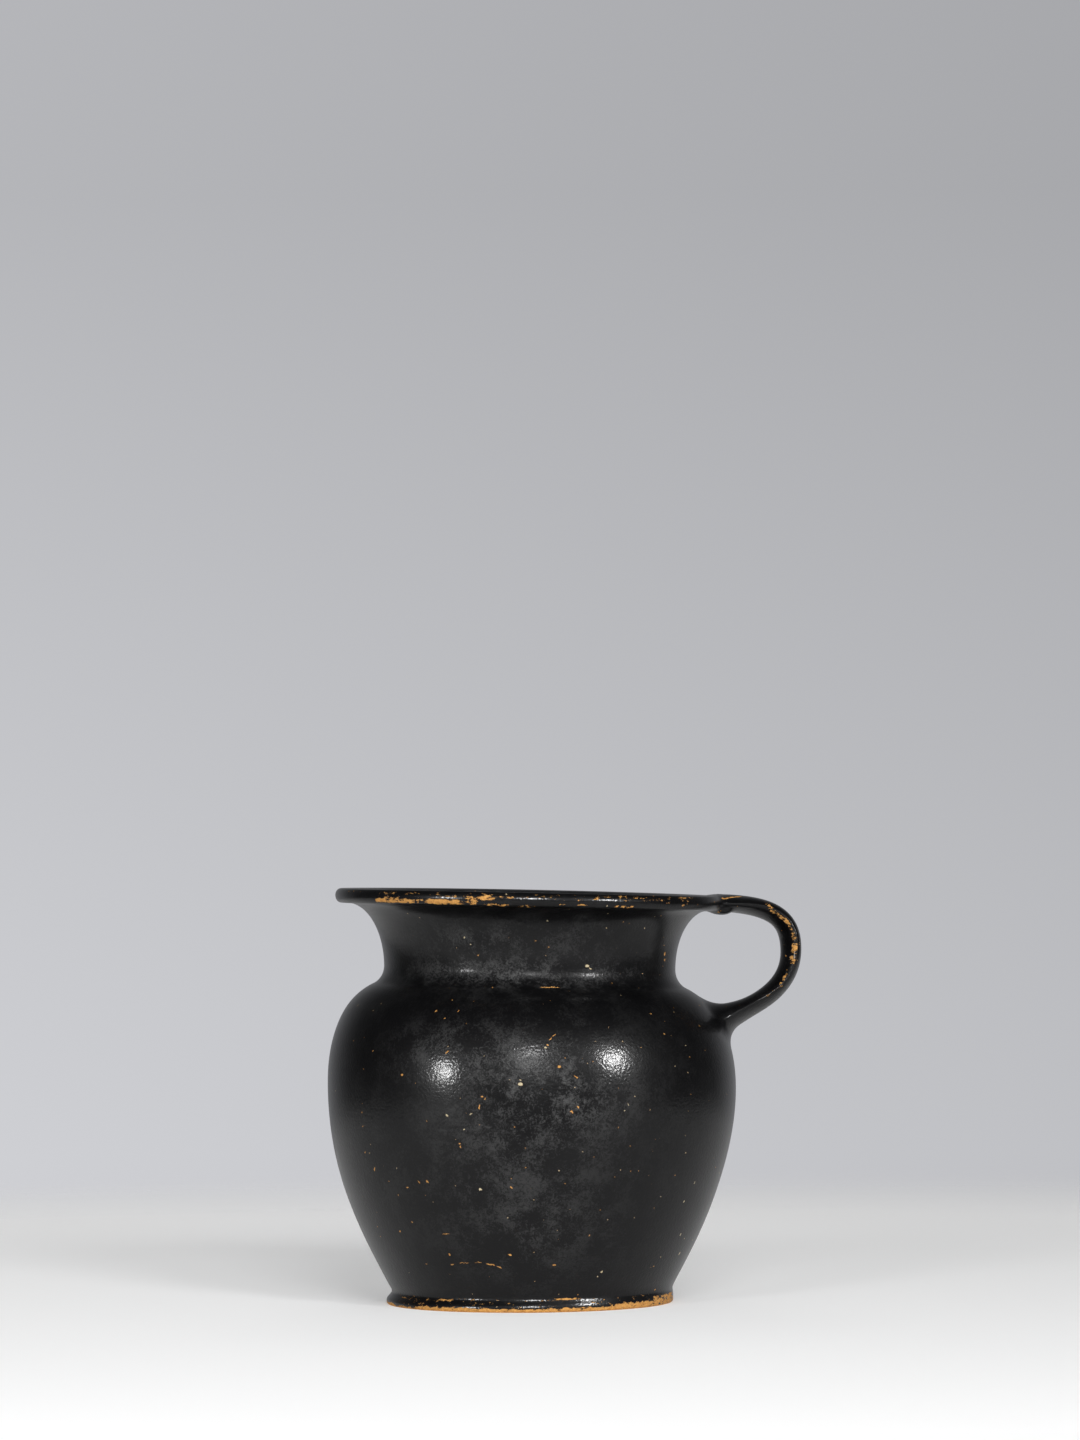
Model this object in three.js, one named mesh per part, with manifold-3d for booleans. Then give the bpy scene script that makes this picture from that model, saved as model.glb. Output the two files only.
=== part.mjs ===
// A small wheel-thrown pouring mug of black-gloss pottery: a full, rounded body on a low disc foot,
// a short concave neck that flares to a flat lip, and one strap handle from the lip to the shoulder.
// Body and handle are one piece of fired clay. Millimetres, +Z up, origin under the middle of the foot,
// handle towards +X.
import * as THREE from "three";
import { mergeVertices } from "three/addons/utils/BufferGeometryUtils.js";
import Module from "manifold-3d";

// Body, measured on the outside
const HEIGHT = 100; // underside of the foot to the top of the lip, before the slump
const FOOT_RADIUS = 34.9;
const FOOT_HEIGHT = 3; // up to the turned groove above the foot
const FOOT_EDGE_ROUND = 0.6;
const GROOVE_DEPTH = 0.68;
const BELLY_RADIUS = 49.7;
const BELLY_HEIGHT = 53.2; // height of the widest place
const SHOULDER_HEIGHT = 77.2; // where the shoulder turns up into the neck
const SHOULDER_INSET = 2.3; // the shoulder ends this far outside the neck
const NECK_RADIUS = 35.55;
const NECK_HEIGHT = 81.3; // height of the narrowest place
const FLARE_REACH = 8.9; // how far the neck curves outwards below the lip
const LIP_RADIUS = 47.35;
const LIP_THICKNESS = 3.5;
const LIP_ROUND = 1.4;
const WALL = 3.3;
const FLOOR_THICKNESS = 4.6;
const FLOOR_ROUND = 9; // how high the rounding between floor and wall reaches

// Fullness of the curves, as directions and as shares of the height that each one spans
const LOWER_WALL_LEAN = THREE.MathUtils.degToRad(27); // outward lean of the wall just above the foot
const LOWER_WALL_FOOT_PULL = 0.19;
const LOWER_WALL_BELLY_PULL = 0.458;
const SHOULDER_RISE = THREE.MathUtils.degToRad(25); // slope of the shoulder where it meets the neck
const SHOULDER_BELLY_PULL = 0.305;
const SHOULDER_NECK_PULL = 0.466;

// The soft clay slumped a little towards the handle: the rings of the body tilt more with height
const RIM_TILT = THREE.MathUtils.degToRad(1.65);
// and they sit a little off the axis of the foot, in three smooth steps between the heights that follow
const LOWER_SHIFT = 0.37;
const LOWER_SHIFT_END = 3;
const BELLY_SHIFT = 0.48;
const BELLY_SHIFT_START = 26;
const BELLY_SHIFT_END = 54;
const NECK_SHIFT = -0.28;
const NECK_SHIFT_START = 64;
const NECK_SHIFT_END = 77;

// Handle: a flattened strap, wider than thick, given by its centre line and its section
const HANDLE_REACH = 63.8; // distance of the centre line from the axis at its furthest
const HANDLE_REACH_HEIGHT = 87.2;
const HANDLE_LIP_OVERLAP = 4.35; // the strap's end lies this far in from the edge of the lip
const HANDLE_LIP_PULL = 16.7;
const HANDLE_LIP_RISE = THREE.MathUtils.degToRad(1.4); // the strap leaves the lip slightly upwards
const HANDLE_BEND_PULL_UP = 8;
const HANDLE_BEND_PULL_DOWN = 12.2;
const HANDLE_ROOT_PULL = 5.4;
const HANDLE_ROOT_HEIGHT = 69.2; // centre of the strap where it meets the shoulder
const HANDLE_ROOT_SLOPE = THREE.MathUtils.degToRad(27);
const HANDLE_WIDTH = 11;
const HANDLE_THICKNESS = 4.5;
const HANDLE_LIP_WIDTH = 17;
const HANDLE_LIP_THICKNESS = 4.4;
const HANDLE_ROOT_WIDTH = 17;
const HANDLE_ROOT_THICKNESS = 8;
const HANDLE_SEAT = 0.5; // how far the strap's root is sunk behind the middle of the wall
const HANDLE_TWIST_AT_BEND = THREE.MathUtils.degToRad(-16); // the hand-pulled strap is slightly twisted
const HANDLE_TWIST_AT_ROOT = THREE.MathUtils.degToRad(8);

// Steps of the faceted surface
const AROUND = 60;
const HANDLE_SIDES = 16;
const HANDLE_STATIONS = 14; // along each of the handle's two curves

// The point at a distance from another one, in the direction of an angle.
const along = (origin, angle, length) =>
  new THREE.Vector2(origin.x + Math.cos(angle) * length, origin.y + Math.sin(angle) * length);

// The outer wall from the groove up to the widest place, as a curve of (radius, height).
function lowerWallCurve() {
  const start = new THREE.Vector2(FOOT_RADIUS - GROOVE_DEPTH + 0.1, FOOT_HEIGHT + 0.8);
  const end = new THREE.Vector2(BELLY_RADIUS, BELLY_HEIGHT);
  const rise = end.y - start.y;
  return new THREE.CubicBezierCurve(
    start,
    along(start, Math.PI / 2 - LOWER_WALL_LEAN, rise * LOWER_WALL_FOOT_PULL),
    new THREE.Vector2(end.x, end.y - rise * LOWER_WALL_BELLY_PULL),
    end,
  );
}

// The outer wall from the widest place over the shoulder to the foot of the neck.
function shoulderCurve() {
  const start = new THREE.Vector2(BELLY_RADIUS, BELLY_HEIGHT);
  const end = new THREE.Vector2(NECK_RADIUS + SHOULDER_INSET, SHOULDER_HEIGHT);
  const rise = end.y - start.y;
  return new THREE.CubicBezierCurve(
    start,
    new THREE.Vector2(start.x, start.y + rise * SHOULDER_BELLY_PULL),
    along(end, -SHOULDER_RISE, rise * SHOULDER_NECK_PULL),
    end,
  );
}

// The soft corner from the end of the shoulder up to the narrowest place of the neck.
function neckCorner() {
  const start = new THREE.Vector2(NECK_RADIUS + SHOULDER_INSET, SHOULDER_HEIGHT);
  const rise = NECK_HEIGHT - SHOULDER_HEIGHT;
  return new THREE.CubicBezierCurve(
    start,
    along(start, Math.PI - SHOULDER_RISE * 1.3, rise * 0.32),
    new THREE.Vector2(NECK_RADIUS + 0.1, start.y + rise * 0.49),
    new THREE.Vector2(NECK_RADIUS, NECK_HEIGHT),
  );
}

// A quarter ellipse from (centre.x - reach, centre.y) up to (centre.x, centre.y + rise).
function flareCurve(centre, reach, rise) {
  return new THREE.EllipseCurve(centre.x, centre.y, reach, rise, Math.PI, Math.PI / 2, true);
}

// A quarter circle that rounds a corner, from one angle to another.
function roundCurve(x, y, radius, from, to) {
  return new THREE.EllipseCurve(x, y, radius, radius, from, to, false);
}

// Points of a curve moved towards the inside of the wall by its thickness.
function insidePoints(curve, steps, thickness) {
  const points = [];
  for (let i = 0; i <= steps; i++) {
    const at = curve.getPoint(i / steps);
    const tangent = curve.getTangent(i / steps);
    points.push(new THREE.Vector2(at.x - tangent.y * thickness, at.y + tangent.x * thickness));
  }
  return points;
}

// The rounding from the wall down to the flat floor inside, starting at the wall's lowest inner point.
function floorRounding(wallPoint, wallAbove, steps) {
  const slope = (wallAbove.x - wallPoint.x) / (wallAbove.y - wallPoint.y);
  const corner = new THREE.Vector2(wallPoint.x - slope * (wallPoint.y - FLOOR_THICKNESS), FLOOR_THICKNESS);
  const floorEdge = new THREE.Vector2(corner.x - FLOOR_ROUND, FLOOR_THICKNESS);
  return new THREE.QuadraticBezierCurve(wallPoint, corner, floorEdge).getPoints(steps);
}

// The closed outline of the turned body, from the middle of the underside round to the floor inside.
function bodyOutline() {
  const footTop = FOOT_RADIUS - GROOVE_DEPTH;
  const foot = [
    new THREE.Vector2(0, 0),
    ...roundCurve(FOOT_RADIUS - FOOT_EDGE_ROUND, FOOT_EDGE_ROUND, FOOT_EDGE_ROUND, -Math.PI / 2, 0).getPoints(3),
    new THREE.Vector2(FOOT_RADIUS, FOOT_HEIGHT * 0.36),
    new THREE.Vector2(footTop + GROOVE_DEPTH * 0.4, FOOT_HEIGHT * 0.66),
    new THREE.Vector2(footTop, FOOT_HEIGHT),
  ];
  const lipUnderside = HEIGHT - LIP_THICKNESS;
  const flareCentre = new THREE.Vector2(NECK_RADIUS + FLARE_REACH, NECK_HEIGHT);
  const outerFlare = flareCurve(flareCentre, FLARE_REACH, lipUnderside - NECK_HEIGHT);
  const innerFlare = flareCurve(flareCentre, FLARE_REACH + WALL, HEIGHT - NECK_HEIGHT);
  const lipEdge = LIP_RADIUS - LIP_ROUND;
  const lip = [
    ...roundCurve(lipEdge, lipUnderside + LIP_ROUND, LIP_ROUND, -Math.PI / 2, 0).getPoints(3),
    ...roundCurve(lipEdge, HEIGHT - LIP_ROUND, LIP_ROUND, 0, Math.PI / 2).getPoints(3),
  ];
  const innerShoulder = insidePoints(shoulderCurve(), 7, WALL).reverse();
  const innerLower = insidePoints(lowerWallCurve(), 8, WALL)
    .reverse()
    .slice(1)
    .filter((p) => p.y > FLOOR_THICKNESS + FLOOR_ROUND);
  const [wallAbove, wallPoint] = innerLower.slice(-2);
  return [
    ...foot,
    ...lowerWallCurve().getPoints(9),
    ...shoulderCurve().getPoints(9).slice(1),
    ...neckCorner().getPoints(4).slice(1),
    ...outerFlare.getPoints(6).slice(1),
    ...lip,
    ...innerFlare.getPoints(6).reverse(),
    new THREE.Vector2(NECK_RADIUS - WALL, SHOULDER_HEIGHT + 0.4),
    ...innerShoulder,
    ...innerLower,
    ...floorRounding(wallPoint, wallAbove, 3).slice(1),
    new THREE.Vector2(0, FLOOR_THICKNESS),
  ];
}

// The turned body: the outline carried round the vertical axis.
function bodyGeometry() {
  return new THREE.LatheGeometry(bodyOutline(), AROUND).rotateX(Math.PI / 2);
}

// The outer radius of the shoulder at a height, found along its curve.
function shoulderRadiusAt(height) {
  const curve = shoulderCurve();
  let low = 0;
  let high = 1;
  for (let i = 0; i < 30; i++) {
    const middle = (low + high) / 2;
    if (curve.getPoint(middle).y < height) low = middle;
    else high = middle;
  }
  return curve.getPoint(low).x;
}

// The handle's centre line in the plane of x and height: over the top, then down and in to the shoulder.
function handleCurves() {
  const lipEnd = new THREE.Vector2(LIP_RADIUS - HANDLE_LIP_OVERLAP, HEIGHT - LIP_THICKNESS / 2);
  const bend = new THREE.Vector2(HANDLE_REACH, HANDLE_REACH_HEIGHT);
  const rootOnWall = new THREE.Vector2(shoulderRadiusAt(HANDLE_ROOT_HEIGHT), HANDLE_ROOT_HEIGHT);
  const inwards = HANDLE_ROOT_SLOPE + Math.PI;
  const root = along(rootOnWall, inwards, WALL / 2 + HANDLE_SEAT);
  return [
    new THREE.CubicBezierCurve(
      lipEnd,
      along(lipEnd, HANDLE_LIP_RISE, HANDLE_LIP_PULL),
      new THREE.Vector2(bend.x, bend.y + HANDLE_BEND_PULL_UP),
      bend,
    ),
    new THREE.CubicBezierCurve(
      bend,
      new THREE.Vector2(bend.x, bend.y - HANDLE_BEND_PULL_DOWN),
      along(root, HANDLE_ROOT_SLOPE, HANDLE_ROOT_PULL + WALL / 2 + HANDLE_SEAT),
      root,
    ),
  ];
}

const { smoothstep, lerp } = THREE.MathUtils;

// Half width, half thickness and twist of the strap at a share of its length (0 at the lip, 1 at the root).
function strapSection(share) {
  const nearLip = 1 - smoothstep(share, 0, 0.32);
  const nearRoot = smoothstep(share, 0.72, 1);
  const lipTip = 0.35 + 0.65 * Math.sqrt(smoothstep(share, -0.02, 0.1));
  const width = HANDLE_WIDTH + nearLip * (HANDLE_LIP_WIDTH - HANDLE_WIDTH) + nearRoot * (HANDLE_ROOT_WIDTH - HANDLE_WIDTH);
  const thickness =
    HANDLE_THICKNESS +
    nearLip * (HANDLE_LIP_THICKNESS - HANDLE_THICKNESS) +
    nearRoot * nearRoot * (HANDLE_ROOT_THICKNESS - HANDLE_THICKNESS);
  const twist =
    HANDLE_TWIST_AT_BEND * smoothstep(share, 0.08, 0.4) * (1 - smoothstep(share, 0.4, 0.75)) +
    HANDLE_TWIST_AT_ROOT * smoothstep(share, 0.6, 0.85) * (1 - nearRoot);
  return { halfWidth: width / 2, halfThickness: (thickness / 2) * lipTip, twist };
}

// The strap: its flat oval section carried along the centre line, closed by a fan at each end.
function handleGeometry() {
  const stations = [];
  handleCurves().forEach((curve, part) => {
    for (let i = part; i <= HANDLE_STATIONS; i++) {
      const t = i / HANDLE_STATIONS;
      stations.push({ at: curve.getPoint(t), tangent: curve.getTangent(t) });
    }
  });
  const positions = [];
  const indices = [];
  const addPoint = (x, y, z) => positions.push(x, y, z) / 3 - 1;
  const rings = stations.map(({ at, tangent }, k) => {
    const { halfWidth, halfThickness, twist } = strapSection(k / (stations.length - 1));
    const outward = new THREE.Vector2(-tangent.y, tangent.x);
    const ring = [];
    for (let i = 0; i < HANDLE_SIDES; i++) {
      const angle = (2 * Math.PI * i) / HANDLE_SIDES;
      const across = halfWidth * Math.cos(angle);
      const through = halfThickness * Math.sin(angle);
      const sideways = across * Math.cos(twist) - through * Math.sin(twist);
      const up = across * Math.sin(twist) + through * Math.cos(twist);
      ring.push(addPoint(at.x + outward.x * up, sideways, at.y + outward.y * up));
    }
    return ring;
  });
  for (let k = 0; k + 1 < rings.length; k++) {
    for (let i = 0; i < HANDLE_SIDES; i++) {
      const j = (i + 1) % HANDLE_SIDES;
      indices.push(rings[k][i], rings[k][j], rings[k + 1][j]);
      indices.push(rings[k][i], rings[k + 1][j], rings[k + 1][i]);
    }
  }
  const first = addPoint(stations[0].at.x, 0, stations[0].at.y);
  const last = addPoint(stations.at(-1).at.x, 0, stations.at(-1).at.y);
  for (let i = 0; i < HANDLE_SIDES; i++) {
    const j = (i + 1) % HANDLE_SIDES;
    indices.push(first, rings[0][j], rings[0][i]);
    indices.push(last, rings.at(-1)[i], rings.at(-1)[j]);
  }
  const geometry = new THREE.BufferGeometry();
  geometry.setAttribute("position", new THREE.Float32BufferAttribute(positions, 3));
  geometry.setIndex(indices);
  return geometry;
}

const wasm = await Module();
wasm.setup();

// A closed geometry as a solid that can be joined.
function toSolid(geometry) {
  const bare = new THREE.BufferGeometry().setAttribute("position", geometry.getAttribute("position"));
  bare.setIndex(geometry.index);
  const merged = mergeVertices(bare, 1e-4);
  return new wasm.Manifold(
    new wasm.Mesh({
      numProp: 3,
      vertProperties: new Float32Array(merged.getAttribute("position").array),
      triVerts: new Uint32Array(merged.index.array),
    }),
  );
}

// How far the clay at a height sits off the axis of the foot, towards the handle.
function shiftAt(height) {
  return (
    LOWER_SHIFT * smoothstep(height, 1, LOWER_SHIFT_END) +
    BELLY_SHIFT * smoothstep(height, BELLY_SHIFT_START, BELLY_SHIFT_END) +
    NECK_SHIFT * smoothstep(height, NECK_SHIFT_START, NECK_SHIFT_END)
  );
}

// The joined solid as a geometry, slumped towards the handle.
function toSlumpedGeometry(solid) {
  const mesh = solid.getMesh();
  const geometry = new THREE.BufferGeometry();
  const position = new THREE.BufferAttribute(new Float32Array(mesh.vertProperties), 3);
  for (let i = 0; i < position.count; i++) {
    const x = position.getX(i);
    const z = position.getZ(i);
    const height = Math.max(0, (z - FOOT_HEIGHT) / (HEIGHT - FOOT_HEIGHT));
    position.setX(i, x + shiftAt(z));
    position.setZ(i, z - x * Math.tan(RIM_TILT * Math.sqrt(height)));
  }
  geometry.setAttribute("position", position);
  geometry.setIndex(new THREE.BufferAttribute(new Uint32Array(mesh.triVerts), 1));
  geometry.computeVertexNormals();
  return geometry;
}

const blackGloss = new THREE.MeshStandardMaterial({ color: 0x1b1b1c, roughness: 0.3, metalness: 0 });

const jug = new THREE.Mesh(toSlumpedGeometry(toSolid(bodyGeometry()).add(toSolid(handleGeometry()))), blackGloss);
jug.name = "oinochoe";

const group = new THREE.Group();
group.add(jug);
export default group;
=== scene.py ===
"""A small black-gloss pottery oinochoe: a thrown and turned body with one pulled strap handle.

The vessel is one piece of fired clay, so it is one closed mesh that replaces the frame's solid.
Shapes are worked out in millimetres on the upright vessel, as it was thrown. The slump that the
soft clay took is put on last, and the finished mesh is in metres in the frame's own axes:
+Z up, +X towards the handle, -Y towards the camera, origin under the middle of the foot.
"""

import logging
import math
from collections.abc import Callable
from dataclasses import dataclass, field
from enum import Enum

import bpy
import numpy as np
from mathutils import Matrix, Vector


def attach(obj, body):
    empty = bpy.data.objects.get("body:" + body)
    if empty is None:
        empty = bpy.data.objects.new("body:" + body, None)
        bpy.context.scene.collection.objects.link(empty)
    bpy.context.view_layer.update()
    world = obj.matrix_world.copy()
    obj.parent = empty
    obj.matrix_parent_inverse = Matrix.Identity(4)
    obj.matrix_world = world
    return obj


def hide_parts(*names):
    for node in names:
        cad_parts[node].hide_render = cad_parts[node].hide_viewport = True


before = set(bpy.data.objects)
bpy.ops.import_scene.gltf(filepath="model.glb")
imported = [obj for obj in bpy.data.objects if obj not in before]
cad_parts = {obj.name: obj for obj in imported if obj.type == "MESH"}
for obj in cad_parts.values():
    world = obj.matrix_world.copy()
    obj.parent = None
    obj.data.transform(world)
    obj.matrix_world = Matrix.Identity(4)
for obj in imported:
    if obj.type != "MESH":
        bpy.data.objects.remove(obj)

LOG = logging.getLogger("oinochoe")
MM = 0.001
TINY = 1e-12
NEAR_LINE = 1e-4

Curve = Callable[[np.ndarray], np.ndarray]
Range = tuple[float, float, float, float]
Socket = bpy.types.NodeSocket
RANGE = ("From Min", "From Max", "To Min", "To Max")


# Curves in a plane


def bezier(*controls: tuple[float, float]) -> Curve:
    """Makes a Bezier curve: each control point times its Bernstein weight, added up.

    Args:
        controls: The control points, start and end among them.

    Returns:
        The curve as a function of an array of shares from 0 to 1.
    """
    points = np.array(controls, float)
    degree = len(points) - 1

    def curve(share: np.ndarray) -> np.ndarray:
        """The curve's points at an array of shares.

        Args:
            share: Shares of the way from start to end, from 0 to 1.

        Returns:
            The points, one to a row.
        """
        t = np.asarray(share, float)[:, None]
        weights = [math.comb(degree, k) * t**k * (1 - t) ** (degree - k) for k in range(degree + 1)]
        return sum(weight * point for weight, point in zip(weights, points))

    return curve


def ellipse(centre: tuple[float, float], radii: tuple[float, float], start: float, end: float) -> Curve:
    """Makes a stretch of an ellipse: centre plus radii times the cosine and sine of the angle.

    Args:
        centre: Its middle.
        radii: Its half sizes across and up.
        start: The angle where it starts, in degrees.
        end: The angle where it ends, in degrees.

    Returns:
        The curve as a function of an array of shares from 0 to 1.
    """

    def curve(share: np.ndarray) -> np.ndarray:
        """The ellipse's points at an array of shares.

        Args:
            share: Shares of the way from start to end, from 0 to 1.

        Returns:
            The points, one to a row.
        """
        angle = np.radians(start + (end - start) * np.asarray(share, float))
        return np.array(centre) + np.array(radii) * np.column_stack([np.cos(angle), np.sin(angle)])

    return curve


def backwards(curve: Curve) -> Curve:
    """Runs a curve from its end to its start."""
    return lambda share: curve(1 - np.asarray(share, float))


def inset(curve: Curve, distance: float) -> Curve:
    """Moves a curve to its left: each point plus the distance along the tangent turned by a quarter.

    Args:
        curve: The curve to move.
        distance: How far, in the curve's own units.

    Returns:
        The moved curve.
    """
    nudge = 1e-4

    def moved(share: np.ndarray) -> np.ndarray:
        """The moved curve's points at an array of shares.

        Args:
            share: Shares of the way from start to end, from 0 to 1.

        Returns:
            The points, one to a row.
        """
        t = np.asarray(share, float)
        ahead = curve(np.minimum(t + nudge, 1)) - curve(np.maximum(t - nudge, 0))
        tangent = ahead / np.linalg.norm(ahead, axis=1)[:, None]
        return curve(t) + distance * np.column_stack([-tangent[:, 1], tangent[:, 0]])

    return moved


def spaced(curve: Curve, step: float) -> np.ndarray:
    """Picks points of a curve evenly by arc length, from its start to just before its end.

    Args:
        curve: The curve.
        step: About how far apart the points are.

    Returns:
        The points, one to a row.
    """
    fine = curve(np.linspace(0, 1, 600))
    length = lengths_along(fine)
    count = max(2, round(length[-1] / step))
    at = np.linspace(0, length[-1], count + 1)[:-1]
    return np.column_stack([np.interp(at, length, fine[:, k]) for k in range(2)])


def lengths_along(line: np.ndarray) -> np.ndarray:
    """How far along a line of points each one lies, from 0 at the first."""
    return np.concatenate([[0], np.cumsum(np.linalg.norm(np.diff(line, axis=0), axis=1))])


def smoothstep(value: np.ndarray, low: float, high: float) -> np.ndarray:
    """Rises from 0 at low to 1 at high as 3t^2 - 2t^3, flat at both ends."""
    t = np.clip((np.asarray(value, float) - low) / (high - low), 0, 1)
    return t * t * (3 - 2 * t)


def soft_union(first: np.ndarray, second: np.ndarray, softness: np.ndarray | float) -> np.ndarray:
    """Joins two signed distances and fills the corner between them with a fillet.

    It is the smaller one, less the square of what the softness exceeds their difference by, over
    four times the softness.

    Args:
        first: Distances to one form.
        second: Distances to the other.
        softness: How far the fillet reaches, in the same units.

    Returns:
        The joined distances.
    """
    alike = np.maximum(softness - np.abs(first - second), 0)
    return np.minimum(first, second) - alike**2 / (4 * softness)


# The vessel's shape


@dataclass(frozen=True)
class Steps:
    """How far apart the points of the turned outline are on each stretch, in millimetres."""

    flat: float = 2.4
    edge: float = 0.3
    wall: float = 1.15
    shoulder: float = 0.8
    neck_corner: float = 0.5
    flare: float = 0.85
    lip: float = 0.9
    flare_inside: float = 1.1
    corner_inside: float = 0.9
    shoulder_inside: float = 1.6
    wall_inside: float = 1.9
    heel: float = 1.2


class Stretch(Enum):
    """The named stretches of the turned outline that other parts need to find."""

    UNDERSIDE = "underside"
    OUTSIDE = "outside"
    LIP = "lip"
    INSIDE = "inside"


@dataclass
class TurnedBody:
    """The body turned on the wheel: foot, wall, neck and lip, in millimetres, upright.

    Heights are above the surface that the foot stands on, and radii are from the axis. A pull is
    how far a curve's control point lies from its end, and those of the wall are shares of its rise.
    """

    height: float = 100.0
    foot_radius: float = 34.9
    foot_height: float = 3.0
    foot_side: float = 0.36
    foot_pull: float = 0.7
    foot_edge_round: float = 0.6
    groove_depth: float = 0.68
    groove_pull_out: float = 0.15
    groove_pull_in: float = 0.06
    groove_pull_up: float = 0.3
    wall_start_out: float = 0.1
    wall_start_up: float = 0.8
    lower_lean: float = 27.0
    lower_pull: float = 0.19
    belly_radius: float = 49.7
    belly_height: float = 53.2
    belly_pull_down: float = 0.458
    belly_pull_up: float = 0.305
    shoulder_height: float = 77.2
    shoulder_inset: float = 2.3
    shoulder_slope: float = 25.0
    shoulder_pull: float = 0.466
    neck_radius: float = 35.55
    neck_height: float = 81.3
    neck_pull_low: tuple[float, float] = (1.1, 0.7)
    neck_pull_high: tuple[float, float] = (0.1, 2.0)
    flare_reach: float = 8.9
    lip_radius: float = 47.35
    lip_thickness: float = 3.5
    lip_round: float = 1.4
    wall: float = 3.3
    throat_pull: float = 2.6
    throat_corner_pull: tuple[float, float] = (2.2, 1.2)
    floor_thickness: float = 4.6
    floor_round: float = 9.0
    around: int = 324
    steps: Steps = Steps()
    points: np.ndarray = field(init=False)
    stretches: dict[Stretch, tuple[int, int]] = field(init=False)

    def __post_init__(self) -> None:
        """Works out the closed outline once, with the rows that each named stretch covers."""
        parts = {
            Stretch.UNDERSIDE: self._underside(),
            Stretch.OUTSIDE: self._outside(),
            Stretch.LIP: self._lip(),
            Stretch.INSIDE: self._inside(),
        }
        self.stretches = {}
        rows = 0
        for name, part in parts.items():
            self.stretches[name] = (rows, rows + len(part))
            rows += len(part)
        self.points = np.vstack(list(parts.values()))

    def wall_start(self) -> tuple[float, float]:
        """The lower end of the outer wall, just above the groove."""
        out = self.foot_radius - self.groove_depth + self.wall_start_out
        return out, self.foot_height + self.wall_start_up

    def neck_foot(self) -> tuple[float, float]:
        """The upper end of the shoulder, where the soft corner under the neck begins."""
        return self.neck_radius + self.shoulder_inset, self.shoulder_height

    def lower_wall(self) -> Curve:
        """The outer wall from the groove to the widest place.

        Returns:
            The curve, upwards.
        """
        lean = math.radians(self.lower_lean)
        start = self.wall_start()
        rise = self.belly_height - start[1]
        reach = self.lower_pull * rise
        pull = (start[0] + math.sin(lean) * reach, start[1] + math.cos(lean) * reach)
        below = (self.belly_radius, self.belly_height - self.belly_pull_down * rise)
        return bezier(start, pull, below, (self.belly_radius, self.belly_height))

    def shoulder(self) -> Curve:
        """The outer wall from the widest place to the foot of the neck.

        Returns:
            The curve, upwards.
        """
        slope = math.radians(self.shoulder_slope)
        end = self.neck_foot()
        rise = end[1] - self.belly_height
        reach = self.shoulder_pull * rise
        above = (self.belly_radius, self.belly_height + self.belly_pull_up * rise)
        pull = (end[0] + math.cos(slope) * reach, end[1] - math.sin(slope) * reach)
        return bezier((self.belly_radius, self.belly_height), above, pull, end)

    def _underside(self) -> np.ndarray:
        """The flat disc under the foot and its rounded edge.

        Returns:
            The outline's points, outwards.
        """
        edge = self.foot_radius - self.foot_edge_round
        round_size = (self.foot_edge_round, self.foot_edge_round)
        return np.vstack([
            spaced(bezier((0, 0), (edge, 0)), self.steps.flat),
            spaced(ellipse((edge, self.foot_edge_round), round_size, -90, 0), self.steps.edge),
        ])

    def _outside(self) -> np.ndarray:
        """The foot's side, its groove, the wall, the soft corner under the neck and the flare.

        Returns:
            The outline's points, upwards.
        """
        foot, groove = self.foot_radius, self.foot_radius - self.groove_depth
        low, high = self.foot_height * self.foot_side, self.foot_height
        side = bezier((foot, self.foot_edge_round), (foot, low))
        ledge = bezier(
            (foot, low),
            (foot, low + self.foot_pull),
            (groove + self.groove_pull_out, high - self.foot_pull),
            (groove, high),
        )
        deepest = (groove - self.groove_pull_in, high + self.groove_pull_up)
        neck_foot, neck = self.neck_foot(), self.neck_radius
        corner = bezier(
            neck_foot,
            (neck_foot[0] - self.neck_pull_low[0], neck_foot[1] + self.neck_pull_low[1]),
            (neck + self.neck_pull_high[0], neck_foot[1] + self.neck_pull_high[1]),
            (neck, self.neck_height),
        )
        flare_size = (self.flare_reach, self.height - self.lip_thickness - self.neck_height)
        flare = ellipse((neck + self.flare_reach, self.neck_height), flare_size, 180, 90)
        return np.vstack([
            spaced(side, self.steps.edge),
            spaced(ledge, self.steps.edge),
            spaced(bezier((groove, high), deepest, self.wall_start()), self.steps.edge),
            spaced(self.lower_wall(), self.steps.wall),
            spaced(self.shoulder(), self.steps.shoulder),
            spaced(corner, self.steps.neck_corner),
            spaced(flare, self.steps.flare),
        ])

    def _lip(self) -> np.ndarray:
        """The lip's underside, its rounded edge and its top, out and back in again.

        Returns:
            The outline's points, from below to above.
        """
        inner = self.neck_radius + self.flare_reach
        under = self.height - self.lip_thickness
        edge = self.lip_radius - self.lip_round
        middle = under + self.lip_thickness / 2
        size = (self.lip_round, self.lip_thickness / 2)
        return np.vstack([
            spaced(bezier((inner, under), (edge, under)), self.steps.lip),
            spaced(ellipse((edge, middle), size, -90, 90), self.steps.edge),
            spaced(bezier((edge, self.height), (inner, self.height)), self.steps.lip),
        ])

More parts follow.
